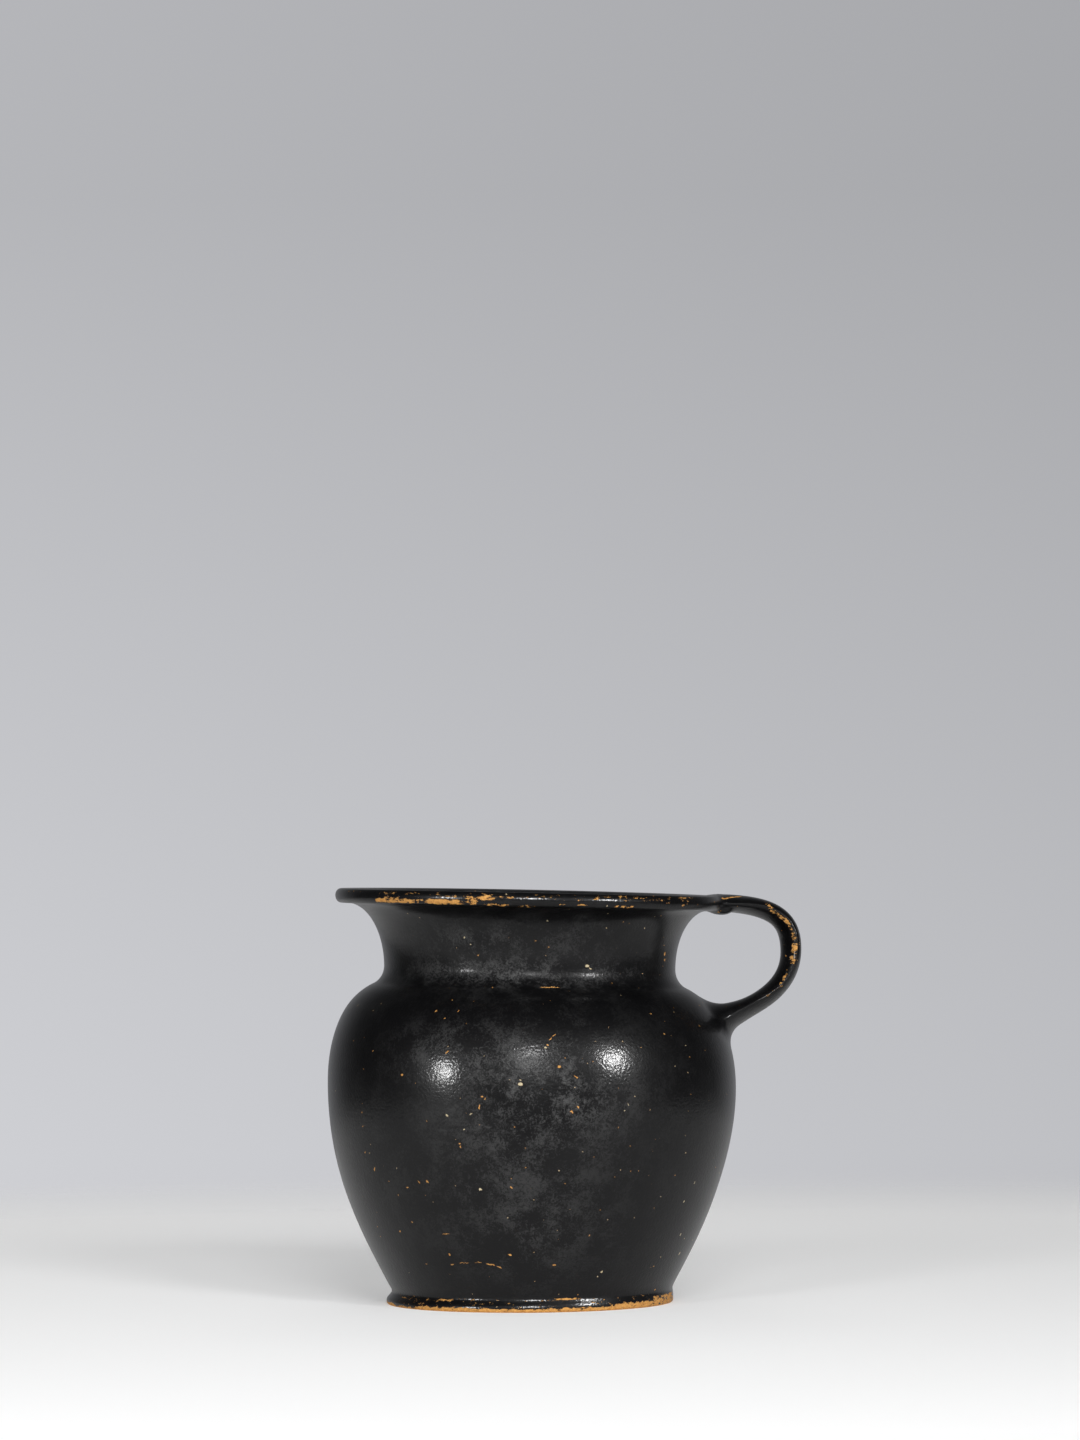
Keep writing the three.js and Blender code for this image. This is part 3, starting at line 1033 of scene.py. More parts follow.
CHIPS = (
    Chip(-128.4, 56.4, 0.9, 0.8),
    Chip(-82.4, 59.1, 1.2, 1.0),
    Chip(-93.1, 54.9, 1.4, 1.1, 0, Bare.LIME),
    Chip(-93.0, 55.9, 0.7, 0.5, 0, Bare.LIME),
    Chip(-105.1, 29.8, 0.9, 0.8, 0, Bare.LIME),
    Chip(-95.7, 30.4, 0.9, 0.5, -30),
    Chip(-114.2, 62.1, 1.5, 0.35, 35),
    Chip(-104.5, 49.4, 1.7, 0.45, 75),
    Chip(-103.8, 51.9, 1.0, 0.35, 0),
    Chip(-102.9, 51.4, 0.8, 0.3, 70),
    Chip(-107.0, 47.7, 0.9, 0.3, 10, Bare.LIME),
    Chip(-85.5, 64.2, 0.9, 0.5, -40),
    Chip(-84.6, 65.6, 1.4, 0.25, 50),
    Chip(-83.4, 66.5, 1.4, 0.25, 25),
    Chip(-86.0, 63.6, 0.8, 0.5, 0, Bare.LIME),
    Chip(-77.8, 56.8, 1.6, 0.4, -32),
    Chip(-77.3, 49.7, 1.1, 0.35, -45),
    Chip(-79.0, 48.5, 1.2, 0.6, -45),
    Chip(-62.6, 50.2, 1.1, 0.3, -65, Bare.LIME),
    Chip(-63.7, 48.8, 0.6, 0.4, 30, Bare.LIME),
    Chip(-110.4, 40.6, 0.7, 0.5, 20),
    Chip(-110.2, 39.8, 0.9, 0.5, -60),
    Chip(-114.0, 47.2, 1.0, 0.5, -30, Bare.LIME),
    Chip(-109.0, 44.0, 0.6, 0.45, 0, Bare.LIME),
    Chip(-142.6, 33.5, 1.6, 0.5, 70),
    Chip(-145.9, 37.4, 0.9, 0.5, 60),
    Chip(-145.2, 47.0, 0.8, 0.4, 80),
    Chip(-145.3, 43.6, 0.7, 0.4, 80),
    Chip(-125.0, 31.1, 1.0, 0.5, -55),
    Chip(-122.0, 31.3, 1.2, 0.7, -60),
    Chip(-129.7, 29.6, 0.7, 0.4, 20),
    Chip(-140.8, 61.6, 0.6, 0.4, 40),
    Chip(-120.1, 71.5, 1.0, 0.3, 55),
    Chip(-116.5, 69.9, 0.7, 0.3, 30),
    Chip(-112.5, 71.7, 0.9, 0.25, 50),
    Chip(-82.7, 77.6, 6.4, 0.3, 0),
    Chip(-119.4, 11.4, 1.4, 0.25, 5),
    Chip(-114.5, 11.9, 3.6, 0.14, 3),
    Chip(-109.0, 12.1, 2.6, 0.14, 0),
    Chip(-104.5, 11.7, 3.0, 0.4, -10),
    Chip(-101.5, 11.1, 1.8, 0.4, -25),
    Chip(-131.0, 11.2, 0.6, 0.3),
    Chip(-119.5, 13.8, 0.9, 0.6, 80),
    Chip(-97.3, 14.1, 1.3, 0.5, -15),
    Chip(-81.7, 11.6, 1.1, 0.35),
    Chip(-138.5, 18.8, 1.0, 0.5, 30),
    Chip(-119.0, 18.8, 3.0, 0.2, 3),
    Chip(-63.4, 9.6, 0.9, 0.8, 0, Bare.LIME),
    Chip(-35.0, 26.2, 0.8, 0.4, 60, Bare.LIME),
    Chip(-29.8, 17.9, 0.9, 0.5, 70, Bare.LIME),
    Chip(-23.6, 12.9, 1.2, 0.6, 70, Bare.LIME),
    Chip(-30.6, 4.1, 0.9, 0.5),
    Chip(-32.0, 30.7, 0.9, 0.4, 70, Bare.LIME),
    Chip(-24.7, 85.6, 1.5, 0.8, 75),
    Chip(-24.0, 84.2, 0.9, 0.7, 60),
    Chip(-67.4, 82.7, 1.6, 0.7, 10, Bare.LIME),
    Chip(-66.0, 82.1, 1.2, 0.5, -20, Bare.LIME),
    Chip(-114.9, 89.0, 0.6, 0.5, 0, Bare.LIME),
    Chip(-112.8, 87.3, 0.6, 0.5, 0, Bare.LIME),
    Chip(-83.7, 93.4, 0.6, 0.5, 0, Bare.LIME),
)


# Meshes


@dataclass
class Vessel:
    """The whole fired vessel as one closed mesh: body, handle and the clay between them."""

    body: TurnedBody = field(default_factory=TurnedBody)
    handle: PulledHandle = field(default_factory=PulledHandle)
    slump: Slump = field(default_factory=Slump)
    wear: Wear = field(default_factory=Wear)
    bloom: Bloom = field(default_factory=Bloom)
    window_rows: int = 20
    window_half_columns: int = 13
    window_margin: int = 8
    root_level: float = 69.3
    strap_start: float = 0.17
    strap_end: float = 0.86
    strap_rings: int = 78
    strap_corner: float = 24.0
    blend_rings: int = 14
    blend_rounds: int = 14
    settle_rounds: int = 4
    base_level: float = 1.0

    def lip_window(self) -> Window:
        """The opening round the lip's edge, from its underside over to its top.

        Returns:
            The window.
        """
        middle = sum(self.body.stretches[Stretch.LIP]) // 2
        reach = self.window_rows // 2
        return Window(middle - reach, middle + reach, self.window_half_columns)

    def root_window(self) -> Window:
        """The opening in the shoulder round the strap's root. Its inner row is the upper one.

        Returns:
            The window.
        """
        middle = self.body.row_at(Stretch.OUTSIDE, self.root_level)
        reach = self.window_rows // 2
        return Window(middle + reach, middle - reach, self.window_half_columns)

    def strap_angles(self) -> np.ndarray:
        """Spreads a ring's points round the section, side by side with a window's four sides.

        Returns:
            The angles in radians, in the order of a window's loop.
        """
        half, rows, corner = self.window_half_columns, self.window_rows, math.radians(self.strap_corner)
        turn = math.pi
        return np.concatenate([
            np.linspace(turn + corner, 2 * turn - corner, 2 * half, endpoint=False),
            np.linspace(-corner, corner, rows, endpoint=False) + 2 * turn,
            np.linspace(corner, turn - corner, 2 * half, endpoint=False) + 2 * turn,
            np.linspace(turn - corner, turn + corner, rows, endpoint=False) + 2 * turn,
        ])

    def bridge(self, joint: SmoothedJoint, edge: np.ndarray, ring: np.ndarray) -> np.ndarray:
        """Fills the way from a window's edge to the strap's first ring with rings of its own.

        They start as even steps between the two. Each round then moves every point to the middle
        of its four neighbours and back onto the joined surface.

        Args:
            joint: The smoothed union that the rings lie on.
            edge: The window's edge, one point to a row.
            ring: The strap's ring, point for point.

        Returns:
            The rings between, as an array of rings by points by 3.
        """
        shares = np.linspace(0, 1, self.blend_rings + 2)[:, None, None]
        rings = edge + (ring - edge) * shares
        for _ in range(self.blend_rounds):
            beside = np.roll(rings, 1, axis=1)[1:-1] + np.roll(rings, -1, axis=1)[1:-1]
            middle = (rings[:-2] + rings[2:] + beside) / 4
            rings[1:-1] = joint.settle(middle, self.settle_rounds // 2)
        return rings[1:-1]

    def surface(self) -> tuple[np.ndarray, np.ndarray, np.ndarray]:
        """Works out the closed surface of the upright vessel.

        Returns:
            The points in millimetres, the four-sided faces and the three-sided faces.
        """
        joint = SmoothedJoint(self.body, self.handle)
        grid = self.body.grid()
        rows, around = grid.shape[:2]
        windows = [self.lip_window(), self.root_window()]
        for window in windows:
            low, high = sorted((window.inner_row, window.outer_row))
            near_rows = np.arange(low - self.window_margin, high + self.window_margin + 1)
            reach = window.half_columns + self.window_margin
            patch = np.ix_(near_rows, np.arange(-reach, reach + 1) % around)
            grid[patch] = joint.settle(grid[patch], self.settle_rounds)
        shares = np.linspace(self.strap_start, self.strap_end, self.strap_rings)
        angles = np.tile(self.strap_angles(), (self.strap_rings, 1))
        strap = joint.settle(self.handle.tube(angles, shares), self.settle_rounds)
        edges = [grid[row, column % around] for row, column in (window.loop() for window in windows)]
        top = self.bridge(joint, edges[0], strap[0])
        bottom = self.bridge(joint, edges[1], strap[-1])
        tube = np.concatenate([top, strap, bottom[::-1]])
        points = np.vstack([grid[0, :1], grid[1:-1].reshape(-1, 3), grid[-1, :1], tube.reshape(-1, 3)])
        return points, *self.faces(rows, around, windows, len(tube))

    def faces(
        self, rows: int, around: int, windows: list[Window], rings: int
    ) -> tuple[np.ndarray, np.ndarray]:
        """Joins the surface's points: the body's grid, a fan at each pole, the strap and its bridges.

        Args:
            rows: Rows of the body's grid, a pole at each end among them.
            around: Columns of the body's grid.
            windows: The lip's and the root's windows.
            rings: Rings of the strap, bridges among them.

        Returns:
            The four-sided faces and the three-sided faces, as numbers of points.
        """

        def number(row: np.ndarray | int, column: np.ndarray) -> np.ndarray:
            """The numbers of the grid's points, after the one of the pole underneath."""
            return 1 + (row - 1) * around + column % around

        cells = np.meshgrid(np.arange(1, rows - 2), np.arange(around), indexing="ij")
        row, column = (part.ravel() for part in cells)
        closed = ~np.any([window.covers(row, column, around) for window in windows], axis=0)
        row, column = row[closed], column[closed]
        beside, above = column + 1, row + 1
        corners = [number(row, column), number(row, beside), number(above, beside), number(above, column)]
        wall = np.column_stack(corners)
        every = np.arange(around)
        last_row, last_pole = rows - 2, 1 + (rows - 2) * around
        pole = np.full(around, last_pole)
        under = np.column_stack([np.zeros(around, int), number(1, every + 1), number(1, every)])
        floor = np.column_stack([pole, number(last_row, every), number(last_row, every + 1)])
        lip_edge, root_edge = (number(*window.loop()) for window in windows)
        size = len(lip_edge)
        first = last_pole + 1
        middle = first + np.arange(rings * size).reshape(rings, size)
        lines = np.vstack([lip_edge, middle, root_edge])
        here, there = lines[:-1], lines[1:]
        strap = np.stack([here, np.roll(here, -1, axis=1), np.roll(there, -1, axis=1), there], axis=2)
        return np.vstack([wall, strap.reshape(-1, 4)]), np.vstack([under, floor])

    def inside(self, upright: np.ndarray) -> np.ndarray:
        """Tells which points lie on the inner wall or the floor: nearer the axis than mid-wall.

        Args:
            upright: Places on the upright vessel in millimetres, one to a row.

        Returns:
            1 for each point inside, else 0.
        """
        first, last = self.body.stretches[Stretch.OUTSIDE]
        outside = self.body.points[first:last]
        middle = np.interp(upright[:, 2], outside[:, 1], outside[:, 0]) - self.body.wall / 2
        within = np.hypot(upright[:, 0], upright[:, 1]) < middle
        return (within & (upright[:, 2] > self.base_level)).astype(float)

    def build(self) -> bpy.types.Object:
        """Makes the mesh, slumped and in metres, with what the finish needs stored on its points.

        `thrown` is each point's place on the upright vessel in metres, which patterns follow,
        `worn` says how far the slip is worn there and `bloom` how dull and grey it is.

        Returns:
            The finished object, at the origin.
        """
        upright, quads, triangles = self.surface()
        corners = np.concatenate([quads.ravel(), triangles.ravel()])
        used, renumbered = np.unique(corners, return_inverse=True)
        upright = upright[used]
        quads = renumbered[: quads.size].reshape(-1, 4)
        triangles = renumbered[quads.size :].reshape(-1, 3)
        mesh = bpy.data.meshes.new("oinochoe_clay")
        mesh.from_pydata((self.slump.apply(upright) * MM).tolist(), [], quads.tolist() + triangles.tolist())
        mesh.polygons.foreach_set("use_smooth", np.ones(len(mesh.polygons), bool))
        thrown = mesh.attributes.new("thrown", "FLOAT_VECTOR", "POINT")
        thrown.data.foreach_set("vector", (upright * MM).astype(np.float32).ravel())
        bloomed = self.bloom.bloomed(upright, self.inside(upright))
        for name, values in (("worn", self.wear.worn(upright)), ("bloom", bloomed)):
            layer = mesh.attributes.new(name, "FLOAT", "POINT")
            layer.data.foreach_set("value", values.astype(np.float32))
        mesh.validate()
        mesh.update()
        piece = bpy.data.objects.new("oinochoe_clay", mesh)
        bpy.context.scene.collection.objects.link(piece)
        return piece

    def dress(self, piece: bpy.types.Object) -> None:
        """Gives the finished mesh its slip."""
        piece.data.materials.append(BlackGloss(self.body).build())


# Finishes


def linear(hex_colour: str) -> tuple[float, float, float, float]:
    """Turns an sRGB hex colour such as #1c1c1d into linear red, green, blue and alpha.

    Args:
        hex_colour: The colour, as a hash and six digits.

    Returns:
        The colour that a shader's socket takes.
    """
    values = [int(hex_colour[k : k + 2], 16) / 255 for k in (1, 3, 5)]
    red, green, blue = (v / 12.92 if v <= 0.04045 else ((v + 0.055) / 1.055) ** 2.4 for v in values)
    return red, green, blue, 1.0


def add_node(
    tree: bpy.types.NodeTree,
    kind: str,
    inputs: dict[str | int, object] | None = None,
    **settings: object,
) -> bpy.types.Node:
    """Adds one node with its settings, and sets or links its inputs.

    Args:
        tree: The node tree to add to.
        kind: The node's type name.
        inputs: Socket name or number to a value, or to the output socket that feeds it.
        settings: The node's own properties.

    Returns:
        The new node.
    """
    node = tree.nodes.new(kind)
    for name, value in settings.items():
        setattr(node, name, value)
    for socket, value in (inputs or {}).items():
        if isinstance(value, Socket):
            tree.links.new(value, node.inputs[socket])
        else:
            node.inputs[socket].default_value = value
    return node


@dataclass(frozen=True)
class BlackGloss:
    """Black gloss: a fine iron-rich slip, brushed on and fired glassy on orange earthenware.

    To the eye it is a thin lustrous black skin: small highlights that sparkle over the fine grain
    and the rings left by turning, cloudy grey where it has weathered, and matt orange clay or pale
    lime where it is worn and chipped. The grain is drawn coarser than the real one so that it shows.
    Names that end in mm are the patterns' real sizes. Levels say between which two values of a
    pattern its mask goes from 0 to 1.
    """

    body: TurnedBody
    chips: tuple[Chip, ...] = CHIPS
    name: str = "black_gloss_slip_on_earthenware"
    slip: str = "#080809"
    bloom: str = "#464646"
    clay: str = "#d29d58"
    clay_dark: str = "#a06c35"
    lime: str = "#bdb192"
    roughness: float = 0.4
    bloom_roughness: float = 0.5
    clay_roughness: float = 0.85
    gloss: float = 0.3
    gloss_roughness: float = 0.15
    ior: float = 1.5
    reflectance: float = 0.09
    grain_mm: float = 0.6
    relief_mm: float = 0.068
    turning_mm: float = 0.9
    turning_share: float = 0.25
    turning_drift: float = 0.02
    worn_depth: float = 0.7
    cloud_mm: float = 7.0
    cloud_levels: tuple[float, float] = (0.46, 0.61)
    fleck_mm: float = 0.8
    clay_levels: tuple[float, float] = (0.3, 0.62)
    film: float = 0.94
    film_levels: tuple[float, float] = (0.45, 0.85)
    wear_mm: float = 0.6
    wear_flatness: float = 0.4
    wear_raggedness: float = 1.9
    wear_levels: tuple[float, float] = (1.45, 1.5)
    warp_mm: float = 0.5
    warp_reach_mm: float = 0.7
    chip_levels: tuple[float, float] = (0.8, 0.58)
    speck_mm: float = 3.0
    speck_levels: tuple[float, float] = (0.06, 0.03)
    pale_share: float = 0.45

    def chipped(self, tree: bpy.types.NodeTree, place: Socket, bare: Bare) -> Socket:
        """Adds the mask of all chips of one kind.

        Each chip's own frame turns with the wall and leans with the chip. The distance from its
        middle, with each axis over its half size, is below 1 inside it, and the smallest counts.

        Args:
            tree: The node tree to add to.
            place: The place on the upright vessel, already warped so that the chips' edges are ragged.
            bare: The kind.

        Returns:
            1 inside a chip and 0 outside.
        """
        nearest: Socket | float = 9.0
        for chip in (chip for chip in self.chips if chip.bare is bare):
            turn = math.radians(chip.turn)
            radius = self.body.radius_at(chip.level)
            frame_of_chip = {
                "Vector": place,
                "Location": (radius * math.cos(turn) * MM, radius * math.sin(turn) * MM, chip.level * MM),
                "Rotation": (0, -math.radians(chip.lean), turn + math.pi / 2),
                "Scale": (chip.length / 2 * MM, 2 * MM, chip.width / 2 * MM),
            }
            framed = add_node(tree, "ShaderNodeMapping", frame_of_chip, vector_type="TEXTURE").outputs[0]
            away = add_node(tree, "ShaderNodeVectorMath", {0: framed}, operation="LENGTH").outputs[1]
            both = {0: away, 1: nearest}
            nearest = add_node(tree, "ShaderNodeMath", both, operation="MINIMUM").outputs[0]
        edge = {"Value": nearest, **dict(zip(RANGE, self.chip_levels))}
        return add_node(tree, "ShaderNodeMapRange", edge, interpolation_type="SMOOTHSTEP").outputs["Result"]

    def bared(self, tree: bpy.types.NodeTree, thrown: Socket) -> tuple[Socket, Socket, Socket]:
        """Adds the masks of what isn't covered by slip: rubbed, chipped and specked places.

        Rubbed places are where the worn attribute plus a ragged pattern, drawn out round the
        wheel, passes a threshold. Specks are the middles of scattered cells.

        Args:
            tree: The node tree to add to.
            thrown: The place on the upright vessel, in metres.

        Returns:
            The rubbed places alone, all bare places, and those of them that show pale lime.
        """
        worn = add_node(tree, "ShaderNodeAttribute", attribute_name="worn").outputs["Fac"]
        flattened = {"Vector": thrown, "Scale": (self.wear_flatness, self.wear_flatness, 1.0)}
        drawn_out = add_node(tree, "ShaderNodeMapping", flattened).outputs[0]
        torn = {"Vector": drawn_out, "Scale": 1 / (self.wear_mm * MM), "Detail": 8.0, "Roughness": 0.7}
        ragged = add_node(tree, "ShaderNodeTexNoise", torn).outputs["Fac"]
        summed = {0: ragged, 1: self.wear_raggedness, 2: worn}
        level = add_node(tree, "ShaderNodeMath", summed, operation="MULTIPLY_ADD").outputs[0]
        passed = {"Value": level, **dict(zip(RANGE, self.wear_levels))}
        rubbed = add_node(tree, "ShaderNodeMapRange", passed).outputs["Result"]

        wander = {"Vector": thrown, "Scale": 1 / (self.warp_mm * MM), "Detail": 3.0}
        warp = add_node(tree, "ShaderNodeTexNoise", wander).outputs["Color"]
        shifted = {0: warp, 1: (self.warp_reach_mm * MM,) * 3, 2: thrown}
        warped = add_node(tree, "ShaderNodeVectorMath", shifted, operation="MULTIPLY_ADD").outputs[0]
        back = {0: warped, 1: (self.warp_reach_mm / 2 * MM,) * 3}
        centred = add_node(tree, "ShaderNodeVectorMath", back, operation="SUBTRACT").outputs[0]
        chipped = self.chipped(tree, centred, Bare.CLAY)
        crusted = self.chipped(tree, centred, Bare.LIME)
        scattered = {"Vector": centred, "Scale": 1 / (self.speck_mm * MM)}
        cells = add_node(tree, "ShaderNodeTexVoronoi", scattered).outputs
        passed = {"Value": cells["Distance"], **dict(zip(RANGE, self.speck_levels))}
        specks = add_node(tree, "ShaderNodeMapRange", passed).outputs["Result"]
        chance = add_node(tree, "ShaderNodeSeparateColor", {0: cells["Color"]}).outputs[0]
        lot = {0: chance, 1: self.pale_share}
        pale = add_node(tree, "ShaderNodeMath", lot, operation="LESS_THAN").outputs[0]
        pale_speck = add_node(tree, "ShaderNodeMath", {0: specks, 1: pale}, operation="MULTIPLY").outputs[0]
        lime = add_node(tree, "ShaderNodeMath", {0: crusted, 1: pale_speck}, operation="MAXIMUM").outputs[0]
        bare = rubbed
        for mask in (chipped, specks, lime):
            bare = add_node(tree, "ShaderNodeMath", {0: bare, 1: mask}, operation="MAXIMUM").outputs[0]
        return rubbed, bare, lime

    def relief(self, tree: bpy.types.NodeTree, thrown: Socket, rubbed: Socket) -> Socket:
        """Adds the fine relief: grain, level rings from turning, and rubbed places a little sunk.

        Args:
            tree: The node tree to add to.
            thrown: The place on the upright vessel, in metres.
            rubbed: 1 where the slip is rubbed away.

        Returns:
            The bumped normal.
        """
        fine = {"Vector": thrown, "Scale": 1 / (self.grain_mm * MM), "Detail": 1.5, "Roughness": 0.5}
        grain = add_node(tree, "ShaderNodeTexNoise", fine).outputs["Fac"]
        level = {0: thrown, 1: (1, 1, 0)}
        flat = add_node(tree, "ShaderNodeVectorMath", level, operation="MULTIPLY").outputs[0]
        away = add_node(tree, "ShaderNodeVectorMath", {0: flat}, operation="LENGTH").outputs["Value"]
        parts = add_node(tree, "ShaderNodeSeparateXYZ", {0: thrown}).outputs
        slow = {0: parts["X"], 1: self.turning_drift}
        drift = add_node(tree, "ShaderNodeMath", slow, operation="MULTIPLY").outputs[0]
        ring_place = add_node(tree, "ShaderNodeCombineXYZ", {0: away, 1: drift, 2: parts["Z"]}).outputs[0]
        turned = {"Vector": ring_place, "Scale": 1 / (self.turning_mm * MM), "Detail": 2.0}
        rings = add_node(tree, "ShaderNodeTexNoise", turned).outputs["Fac"]
        mixed = {"Factor": self.turning_share, "A": grain, "B": rings}
        both = add_node(tree, "ShaderNodeMix", mixed, data_type="FLOAT").outputs[0]
        lowered = {0: rubbed, 1: -self.worn_depth, 2: both}
        sunk = add_node(tree, "ShaderNodeMath", lowered, operation="MULTIPLY_ADD").outputs[0]
        height = {"Height": sunk, "Strength": 1.0, "Distance": self.relief_mm * MM}
        return add_node(tree, "ShaderNodeBump", height).outputs["Normal"]

    def build(self) -> bpy.types.Material:
        """Builds the material from patterns on the upright vessel, sized in millimetres.

        Returns:
            The material.
        """
        material = bpy.data.materials.new(self.name)
        material.use_nodes = True
        tree = material.node_tree
        tree.nodes.clear()
        thrown = add_node(tree, "ShaderNodeAttribute", attribute_name="thrown").outputs["Vector"]
        rubbed, bare, lime = self.bared(tree, thrown)

        bloom = add_node(tree, "ShaderNodeAttribute", attribute_name="bloom").outputs["Fac"]
        wide = {"Vector": thrown, "Scale": 1 / (self.cloud_mm * MM), "Detail": 6.0, "Roughness": 0.64}
        clouds = add_node(tree, "ShaderNodeTexNoise", wide).outputs["Fac"]
        small = {"Vector": thrown, "Scale": 1 / (self.fleck_mm * MM), "Detail": 5.0, "Roughness": 0.7}
        flecks = add_node(tree, "ShaderNodeTexNoise", {**small, "Distortion": 1.2}).outputs["Fac"]
        halves = {"Factor": 0.5, "A": clouds, "B": flecks}
        mottled = add_node(tree, "ShaderNodeMix", halves, data_type="FLOAT").outputs[0]
        cut = {"Value": mottled, **dict(zip(RANGE, self.cloud_levels))}
        patchy = add_node(tree, "ShaderNodeMapRange", cut, interpolation_type="SMOOTHSTEP").outputs[0]
        bloomed = add_node(tree, "ShaderNodeMath", {0: patchy, 1: bloom}, operation="MULTIPLY").outputs[0]

        colours = {"Factor": bloomed, "A": linear(self.slip), "B": linear(self.bloom)}
        slip = add_node(tree, "ShaderNodeMix", colours, data_type="RGBA").outputs[2]
        cut = {"Value": flecks, **dict(zip(RANGE, self.clay_levels))}
        uneven = add_node(tree, "ShaderNodeMapRange", cut).outputs["Result"]
        colours = {"Factor": uneven, "A": linear(self.clay_dark), "B": linear(self.clay)}
        clay = add_node(tree, "ShaderNodeMix", colours, data_type="RGBA").outputs[2]
        colours = {"Factor": lime, "A": clay, "B": linear(self.lime)}
        earth = add_node(tree, "ShaderNodeMix", colours, data_type="RGBA").outputs[2]
        colours = {"Factor": bare, "A": slip, "B": earth}
        colour = add_node(tree, "ShaderNodeMix", colours, data_type="RGBA").outputs[2]

        duller = {"Value": bloomed, "To Min": self.roughness, "To Max": self.bloom_roughness}
        dull = add_node(tree, "ShaderNodeMapRange", duller).outputs["Result"]
        rougher = {"Value": bare, "To Min": dull, "To Max": self.clay_roughness}
        rough = add_node(tree, "ShaderNodeMapRange", rougher).outputs["Result"]
        covered = add_node(tree, "ShaderNodeMath", {0: bloomed, 1: bare}, operation="ADD", use_clamp=True)
        milky = {"Value": bloom, **dict(zip(RANGE, self.film_levels)), "To Max": self.film}
        filmed = add_node(tree, "ShaderNodeMapRange", milky).outputs["Result"]
        more = {0: covered.outputs[0], 1: filmed}
        weathered = add_node(tree, "ShaderNodeMath", more, operation="MAXIMUM").outputs[0]
        fading = {"Value": weathered, "To Min": self.gloss, "To Max": 0.0}
        shine = add_node(tree, "ShaderNodeMapRange", fading).outputs["Result"]
        normal = self.relief(tree, thrown, rubbed)
        surface = {
            "Base Color": colour,
            "Roughness": rough,
            "Normal": normal,
            "IOR": self.ior,
            "Specular IOR Level": self.reflectance,
            "Coat Weight": shine,
            "Coat Roughness": self.gloss_roughness,
            "Coat IOR": self.ior,
            "Coat Normal": normal,
        }
        shader = add_node(tree, "ShaderNodeBsdfPrincipled", surface)
        add_node(tree, "ShaderNodeOutputMaterial", {"Surface": shader.outputs["BSDF"]})
        return material


# The studio


class Job(Enum):
    """What a studio light does: it shows in glossy surfaces, or it lights matt ones."""

    GLINT = "glint"
    FILL = "fill"


@dataclass(frozen=True)
class Softbox:
    """A round or oval studio light, aimed at the vessel from a direction seen from it."""

    name: str
    direction: tuple[float, float, float]
    distance: float
    width: float
    height: float
    power: float
    job: Job = Job.GLINT

    def build(self, target: Vector) -> None:
        """Adds the light, facing the target.

        Args:
            target: What it is aimed at, in metres.
        """
        lamp = bpy.data.lights.new(self.name, "AREA")
        lamp.shape = "ELLIPSE"
        lamp.size = self.width
        lamp.size_y = self.height
        lamp.energy = self.power
        piece = bpy.data.objects.new(self.name, lamp)
        piece.visible_glossy = self.job is Job.GLINT
        piece.visible_diffuse = self.job is Job.FILL
        towards = Vector(self.direction).normalized()
        piece.location = target + towards * self.distance
        piece.rotation_euler = towards.to_track_quat("Z", "Y").to_euler()
        bpy.context.scene.collection.objects.link(piece)


